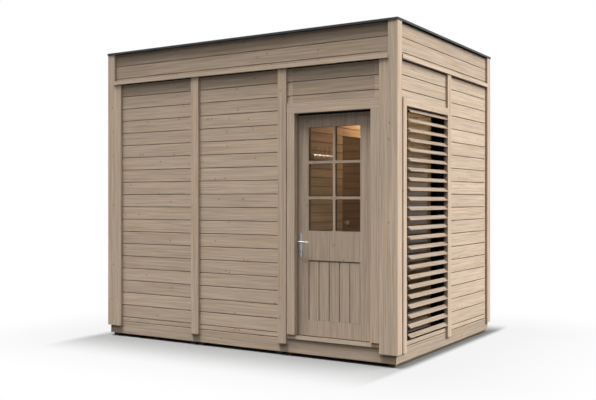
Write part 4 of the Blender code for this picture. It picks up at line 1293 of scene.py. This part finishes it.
    def plate(self, name: str, node: str, face: float, way: int) -> None:
        """Domed lancet plate with its rose.

        Point (u, a) stands at height u, out from the middle line by the half width times cos a, and
        off the leaf by the rise times sin a to the power 0.7.  Half width and rise go with 1 less the
        fifth power of u, which runs from -1 to 1 and counts without its sign.

        Args:
            name: Name of the piece.
            node: CAD node that it stands for.
            face: Face of the leaf that it lies on.
            way: -1 on the outer face, +1 on the inner.
        """
        low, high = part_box(node)
        centre, middle = (low[0] + high[0]) / 2, (low[2] + high[2]) / 2
        height = np.linspace(-1, 1, 45)[:, None]
        shape = 1 - np.abs(height) ** 5
        angle = np.linspace(0, math.pi, 15)[None, ::way]
        rise = (self.plate_rise * shape + self.plate_rim) * np.sin(angle) ** 0.7
        out = ((high[0] - low[0]) / 2 * shape + self.plate_lap) * np.cos(angle)
        upright = middle + height * (high[2] - low[2]) / 2
        points = np.stack([centre + out, face + way * rise, np.broadcast_to(upright, rise.shape)],
                          axis=-1)
        plate = Fittings(name)
        plate.keep(points, tube_faces(45, 15))
        rose = np.array([(0.0, 0.0112), (0.0036, 0.0112), (0.0046, 0.0104), (0.0050, 0.0080),
                         (0.0051, 0.001)])
        plate.turned((centre, face, self.spindle), Axis.Y, rose, way)
        plate.make(STEEL, Body.DOOR, (node,))

    def furniture(self) -> None:
        """Handle plates, lever, keyholes and hinge barrels.

        Along its grip the lever sinks by its sag times its reach squared, and its radii shrink by
        the taper times its reach.  Its last 7 percent close as the root of 1 - u squared.
        """
        low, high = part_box("door_leaf")
        self.plate("lancet_plate", "handle_plate", low[1] - HAIR, -1)
        self.plate("lancet_plate_inside", "handle_plate_inside", high[1] + HAIR, 1)
        lever_low, lever_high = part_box("lever")
        plate_low, plate_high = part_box("handle_plate")
        centre = (plate_low[0] + plate_high[0]) / 2
        level = (lever_low[2] + lever_high[2]) / 2
        lever = Fittings("lever_handle")
        holes = Fittings("keyholes")
        turn = np.linspace(0, math.pi / 2, 9)
        bend = self.lever_bend
        out = self.lever_out - bend
        for face, way in ((low[1], -1), (high[1], 1)):
            neck = np.column_stack([np.full(4, centre), face + way * np.linspace(0.0058, out, 4)])
            arc = np.column_stack([centre + bend * (1 - np.cos(turn)),
                                   face + way * (out + bend * np.sin(turn))])
            grip = np.column_stack([np.linspace(centre + bend + 0.006, lever_high[0], 14),
                                    np.full(14, face + way * (out + bend))])
            flat = np.concatenate([neck, arc, grip])
            reach = np.clip((flat[:, :1] - centre) / (lever_high[0] - centre), 0, 1)
            path = np.column_stack([flat, level - self.lever_sag * reach ** 2])
            end = np.sqrt(np.clip(1 - np.clip((reach - 0.93) / 0.07, 0, 1) ** 2, 0.02, 1))
            radii = (self.lever_radius - np.array(self.lever_taper) * reach) * end
            lever.bent(path, radii, (0, 0, 1), 16)
            eye = np.array([(0.0027, 0.0044), (0.0035, 0.0044), (0.0036, 0.001)])
            holes.turned((centre, face, self.keyhole), Axis.Y, eye, way)
            near, far = sorted((face + way * 0.0027, face + way * 0.0035))
            holes.slab((centre - 0.0016, near, self.keyhole - self.keyhole_slot),
                       (centre + 0.0016, far, self.keyhole), Axis.Z, 0.0004)
        lever.make(STEEL, Body.LEVER, ("lever",))
        holes.make(BLACK_PAINT, Body.DOOR)
        barrels = Fittings("hinge_barrels")
        for node in ("door_hinge_bottom", "door_hinge_top"):
            foot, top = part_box(node)
            length, radius = top[2] - foot[2], self.knuckle_radius
            knuckles = [(0.0, 0.0010), (0.0008, 0.0045), (0.0030, radius)]
            for joint in (length / 3, length * 2 / 3):
                knuckles += [(joint - 0.0008, radius), (joint, 0.0051), (joint + 0.0008, radius)]
            knuckles += [(length - 0.0030, radius), (length - 0.0008, 0.0045), (length, 0.0010)]
            barrels.turned(((foot[0] + top[0]) / 2, (foot[1] + top[1]) / 2, foot[2]), Axis.Z,
                           np.array(knuckles))
        barrels.make(STEEL, Body.CABIN, ("door_hinge_bottom", "door_hinge_top"))

    def build(self) -> None:
        """Make the frame, the leaf, its glazing and its furniture."""
        self.door_frame()
        self.leaf()
        self.glazing()
        self.furniture()


def refinish(node: str, finish: Finish) -> None:
    """Give a CAD node's object a better material in its own slots.

    Args:
        node: Name of the node.
        finish: Its finish.
    """
    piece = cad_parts[node]
    piece.data.materials.clear()
    piece.data.materials.append(finish.material())
    LOG.info("%s: %s", node, finish.name)


@dataclass
class LouvredWindow:
    """Tilted slats on two black carriers, before the black frame, its pane and its reveal."""
    pitch: float = 0.0715
    width: float = 0.037
    thickness: float = 0.008
    tilt_deg: float = 44.0
    first_bottom: float = 0.181
    start: float = -0.747
    front_carrier: float = 0.082
    rear_carrier: float = 0.020
    carrier_thickness: float = 0.0045
    reveal_depth: float = 0.042
    reveal_board: float = 0.012

    def reveal(self) -> None:
        """Black lining that stands into the room round the frame."""
        low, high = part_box("window_frame")
        near, thick = low[0] - HAIR, self.reveal_board
        far = near - self.reveal_depth
        lining = Fittings("window_reveal_lining")
        for front in (low[1], high[1] - thick):
            lining.slab((far, front, low[2]), (near, front + thick, high[2]), Axis.Z)
        for bottom in (low[2], high[2] - thick):
            lining.slab((far, low[1] + thick, bottom), (near, high[1] - thick, bottom + thick), Axis.Y)
        lining.make(FRAME_PAINT)

    def build(self) -> None:
        """Make the slats and carriers, and finish the frame and the pane."""
        low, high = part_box("louvre_screen")
        # Painted light: the slats are lit up well above the stain's tone
        timbers = Joinery("louvre_slats", 101, 3.0)
        tilt = math.radians(self.tilt_deg)
        along = np.array([math.sin(tilt), -math.cos(tilt)]) * self.width
        across = np.array([-math.cos(tilt), -math.sin(tilt)]) * self.thickness
        rise = self.width * math.sin(tilt) + self.thickness * math.cos(tilt)
        count = int((high[2] - self.first_bottom - rise) / self.pitch) + 1
        for number in range(count):
            lowest = self.first_bottom + number * self.pitch
            nose = np.array([lowest + self.thickness * math.cos(tilt), high[0]])
            section = np.array([nose, nose + along, nose + along + across, nose + across])
            timbers.run(section, Axis.Y, self.start, high[1], 0.0016)
        timbers.make(STAINED, nodes=("louvre_screen",))
        carriers = Fittings("louvre_carriers")
        for start, stop in ((low[1], low[1] + self.front_carrier),
                            (high[1] - self.rear_carrier, high[1])):
            carriers.slab((low[0], start, low[2]), (low[0] + self.carrier_thickness, stop, high[2]),
                          Axis.Z, 0.001)
        carriers.make(FRAME_PAINT)
        self.reveal()
        refinish("window_frame", FRAME_PAINT)
        refinish("window_glass", WINDOW_PANE)


@dataclass
class SaunaPartition:
    """Boarded inner wall, its bronze glass door with knob and hinges, and the coat rail."""
    first_joint: float = 0.1326
    pitch: float = 0.0730
    rows: int = 29
    narrowest: float = 0.005
    gap: float = 0.0066
    depth: float = 0.016
    joint_depth: float = 0.012
    rail_height: float = 1.539
    rail_out: float = 0.0126
    rail_section: tuple[float, float] = (0.0125, 0.0238)
    hooks: int = 5
    hook_margin: float = 0.03
    wire: float = 0.0026

    def wall(self, node: str, seed: int) -> None:
        """Lining boards on both faces of one part of the partition.

        Args:
            node: CAD node that they stand for.
            seed: Seed of the boards' logs.
        """
        low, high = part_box(node)
        # Painted shade: the core behind the lining joints is darkened
        boards = Joinery("boards_" + node, seed, JOINT_PAINTED_SHADE)
        boards.board((low[0] + self.joint_depth, low[1], low[2]),
                     (high[0] - self.joint_depth, high[1], high[2]), Axis.Y, 0.001)
        boards.shade = 0.0
        for bottom in self.first_joint + self.pitch * np.arange(self.rows):
            z_low = max(bottom, low[2]) + self.gap / 2
            z_high = min(bottom + self.pitch, high[2]) - self.gap / 2
            if z_high - z_low < self.narrowest:
                continue
            for left in (low[0], high[0] - self.depth):
                boards.board((left, low[1], z_low), (left + self.depth, high[1], z_high), Axis.Y,
                             0.0015)
        boards.make(NATURAL, nodes=(node,))

    def rail(self) -> None:
        """Coat rail: an oval chrome bar with wire hooks that dip and then rise to a ball each.

        Point s of a hook stands out by s times its reach, at the root's height less a half sine wave
        plus s cubed times its rise.
        """
        low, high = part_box("coat_rail")
        rail = Fittings("coat_rail_with_hooks")
        path = np.column_stack([np.full(7, low[0] + self.rail_out), np.linspace(low[1], high[1], 7),
                                np.full(7, self.rail_height)])
        rail.bent(path, np.tile(self.rail_section, (7, 1)), (0, 0, 1), 28)
        s = np.linspace(0, 1, 15)
        ball = np.array([(-0.0050, 0.0004), (-0.0035, 0.0036), (0.0, 0.0050), (0.0035, 0.0036),
                         (0.0050, 0.0004)])
        margin = self.hook_margin
        for place in np.linspace(low[1] + margin, high[1] - margin, self.hooks):
            for root, reach, dip, rise in ((1.550, 0.050, 0.014, 0.060),
                                           (1.530, 0.030, 0.012, 0.012)):
                path = np.column_stack([low[0] + 0.005 + reach * s, np.full(15, place),
                                        root - dip * np.sin(math.pi * s) + rise * s ** 3])
                rail.bent(path, np.full((15, 2), self.wire), (0, 1, 0), 10)
                rail.turned(tuple(path[-1]), Axis.Z, ball, around=12)
        rail.make(CHROME, nodes=("coat_rail",))

    def knob(self) -> None:
        """Ball knob on its neck on the glass door."""
        low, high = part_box("sauna_door_knob")
        profile = np.array([(0.0, 0.0098), (0.0020, 0.0100), (0.0032, 0.0075), (0.0105, 0.0065),
                            (0.0140, 0.0100), (0.0175, 0.0158), (0.0215, 0.0191), (0.0255, 0.0197),
                            (0.0295, 0.0172), (0.0325, 0.0115), (0.0337, 0.0050), (0.0339, 0.0005)])
        knob = Fittings("ball_knob")
        knob.turned((low[0], (low[1] + high[1]) / 2, (low[2] + high[2]) / 2), Axis.X, profile)
        knob.make(CHROME, Body.SAUNA_DOOR, ("sauna_door_knob",))

    def build(self) -> None:
        """Make the partition, its rail and its knob, and finish its door."""
        for seed, node in enumerate(("partition_front", "partition_rear", "partition_over_door"), 111):
            self.wall(node, seed)
        self.rail()
        self.knob()
        for node in ("sauna_door_hinge_bottom", "sauna_door_hinge_top"):
            refinish(node, CHROME)
        refinish("sauna_door_glass", BRONZE_GLASS)


@dataclass
class Studio:
    """Camera at the photograph's viewpoint, four wide soft lights, a warm lamp in each room, a pale
    sky and a white floor."""
    lens: float = 50.0
    camera_place: tuple[float, float, float] = (3.889, -6.281, 1.1885)
    camera_turn_deg: float = 32.0
    sky: float = 0.04
    key: float = 4.6
    key_from: tuple[float, float, float] = (0.67, 0.33, 0.66)
    key_spread_deg: float = 50.0
    top: float = 7.5
    top_from: tuple[float, float, float] = (-0.18, -0.150, 0.965)
    top_spread_deg: float = 20.0
    fill: float = 1.15
    fill_from: tuple[float, float, float] = (0.52, -0.31, 0.76)
    fill_spread_deg: float = 45.0
    lamp: float = 7.5
    lamp_place: tuple[float, float, float] = (0.70, 0.36, 2.06)
    sauna_lamp: float = 6.6
    sauna_lamp_place: tuple[float, float, float] = (-0.55, 0.10, 2.00)
    reach_up: tuple[float, float, float] = (0.09, 0.50, 1.0)
    reach_down: tuple[float, float, float] = (0.18, 0.80, 1.0)
    painted_shadow_reach: float = 1.5
    painted_shadow_least: float = 0.90
    half_floor: float = 60.0
    footprint: tuple[float, float] = (1.4, 0.98)

    @staticmethod
    def seen(tree: bpy.types.NodeTree) -> bpy.types.NodeSocket:
        """Mask that is 1 for rays from the camera, also by way of metal or glass, and otherwise 0.

        Args:
            tree: Node tree that it joins.
        Returns:
            The mask's socket.
        """
        rays = add_node(tree, "ShaderNodeLightPath").outputs
        mask = rays["Is Camera Ray"]
        for kind in ("Is Transmission Ray", "Is Glossy Ray"):
            mask = add_node(tree, "ShaderNodeMath", {0: mask, 1: rays[kind]},
                            operation="MAXIMUM").outputs[0]
        return mask

    def camera(self) -> None:
        """Level camera aimed 32 degrees to the left of straight on."""
        lens = bpy.data.cameras.new("photo_camera")
        lens.lens = self.lens
        lens.sensor_width = 36.0
        lens.clip_end = 200.0
        camera = bpy.data.objects.new("photo_camera", lens)
        camera.location = self.camera_place
        camera.rotation_euler = (math.radians(90), 0, math.radians(self.camera_turn_deg))
        bpy.context.scene.collection.objects.link(camera)
        bpy.context.scene.camera = camera

    def lights(self) -> None:
        """Four wide lights, the two room lamps, and an even sky.

        The sky is white where the camera sees it, also by way of metal or glass.
        """
        from_right, from_front, from_above = self.fill_from
        for name, strength, place, spread in (
                ("key_light", self.key, self.key_from, self.key_spread_deg),
                ("top_light", self.top, self.top_from, self.top_spread_deg),
                ("fill_light_right", self.fill, self.fill_from, self.fill_spread_deg),
                ("fill_light_left", self.fill, (-from_right, from_front, from_above),
                 self.fill_spread_deg)):
            data = bpy.data.lights.new(name, "SUN")
            data.energy = strength
            data.angle = math.radians(spread)
            light = bpy.data.objects.new(name, data)
            way = np.array(place) / np.linalg.norm(place)
            light.rotation_euler = (0, math.acos(way[2]), math.atan2(way[1], way[0]))
            bpy.context.scene.collection.objects.link(light)
        for name, strength, place in (("vestibule_lamp", self.lamp, self.lamp_place),
                                      ("sauna_lamp", self.sauna_lamp, self.sauna_lamp_place)):
            glow = bpy.data.lights.new(name, "POINT")
            glow.energy = strength
            glow.shadow_soft_size = 0.05
            glow.color = linear("#FFEDD5")[:3]
            lamp = bpy.data.objects.new(name, glow)
            lamp.location = place
            lamp.visible_camera = False
            bpy.context.scene.collection.objects.link(lamp)
        world = bpy.data.worlds.new("pale_sky")
        bpy.context.scene.world = world
        world.use_nodes = True
        tree = world.node_tree
        tree.nodes.clear()
        strength = add_node(tree, "ShaderNodeMapRange", {"Value": self.seen(tree), "To Min": self.sky,
                                                         "To Max": 1.0}).outputs[0]
        sky = add_node(tree, "ShaderNodeBackground", {"Color": (1, 1, 1, 1), "Strength": strength})
        add_node(tree, "ShaderNodeOutputWorld", {"Surface": sky.outputs[0]})

    def floor(self) -> None:
        """White floor that keeps the object's shadow and fades into the white distance.

        It turns white where the way out of the footprint, each part over its reach, is 1 long.
        """
        size = self.half_floor
        mesh = bpy.data.meshes.new("studio_floor")
        mesh.from_pydata([(-size, -size, 0), (size, -size, 0), (size, size, 0), (-size, size, 0)], [],
                         [(0, 1, 2, 3)])
        floor = bpy.data.objects.new("studio_floor", mesh)
        floor.location = (0, 0, -0.0005)
        bpy.context.scene.collection.objects.link(floor)
        material = bpy.data.materials.new("white_studio_floor")
        mesh.materials.append(material)
        material.use_nodes = True
        tree = material.node_tree
        shader = tree.nodes["Principled BSDF"]
        place = add_node(tree, "ShaderNodeTexCoord").outputs["Object"]
        right, back = self.footprint
        outside, scaled = [], []
        for sign, reach in ((1, self.reach_up), (-1, self.reach_down)):
            past = add_node(tree, "ShaderNodeVectorMath",
                            {0: place, 1: (sign, sign, 1), 2: (-right, -back, 0)},
                            operation="MULTIPLY_ADD").outputs[0]
            past = add_node(tree, "ShaderNodeVectorMath", {0: past, 1: (0, 0, 0)},
                            operation="MAXIMUM").outputs[0]
            outside.append(past)
            scaled.append(add_node(tree, "ShaderNodeVectorMath", {0: past, 1: reach},
                                   operation="DIVIDE").outputs[0])
        sums = (add_node(tree, "ShaderNodeVectorMath", {0: up, 1: down}, operation="ADD").outputs[0]
                for up, down in (outside, scaled))
        away, near = (add_node(tree, "ShaderNodeVectorMath", {0: way},
                               operation="LENGTH").outputs["Value"] for way in sums)
        far = add_node(tree, "ShaderNodeMapRange", {"Value": near, "From Min": 0.0, "From Max": 1.0},
                       interpolation_type="SMOOTHSTEP").outputs[0]
        # Painted shadow: the floor's white is dimmed near the footprint and reaches full white further
        # out
        veil = add_node(tree, "ShaderNodeMapRange", {"Value": away, "From Max": self.painted_shadow_reach,
                                                     "To Min": self.painted_shadow_least, "To Max": 1.0},
                        interpolation_type="SMOOTHSTEP").outputs[0]
        seen = self.seen(tree)
        colour = add_node(tree, "ShaderNodeMix", {0: seen, 6: linear("#1A1A1A"), 7: linear("#666666")},
                          data_type="RGBA").outputs[2]
        feed(shader, {"Base Color": colour, "Roughness": 0.9})
        blend = add_node(tree, "ShaderNodeMath", {0: far, 1: seen}, operation="MULTIPLY").outputs[0]
        white = add_node(tree, "ShaderNodeEmission", {"Color": (1, 1, 1, 1), "Strength": veil})
        mixed = add_node(tree, "ShaderNodeMixShader",
                         {0: blend, 1: shader.outputs[0], 2: white.outputs[0]})
        feed(tree.nodes["Material Output"], {"Surface": mixed.outputs[0]})

    def build(self) -> None:
        """Set up the camera, the lights and the floor."""
        self.camera()
        self.lights()
        self.floor()


def main() -> None:
    """Build the studio and every sub-assembly in order."""
    logging.basicConfig(level=logging.INFO, format="%(name)s: %(message)s")
    bpy.context.scene.view_settings.view_transform = "Standard"
    for part in (Studio(), Base(), BoardedWalls(), Trim(), FasciaAndRoof(), EntranceDoor(),
                 LouvredWindow(), SaunaPartition()):
        part.build()
        LOG.info("%s done", type(part).__name__)


if __name__ == "__main__":
    main()
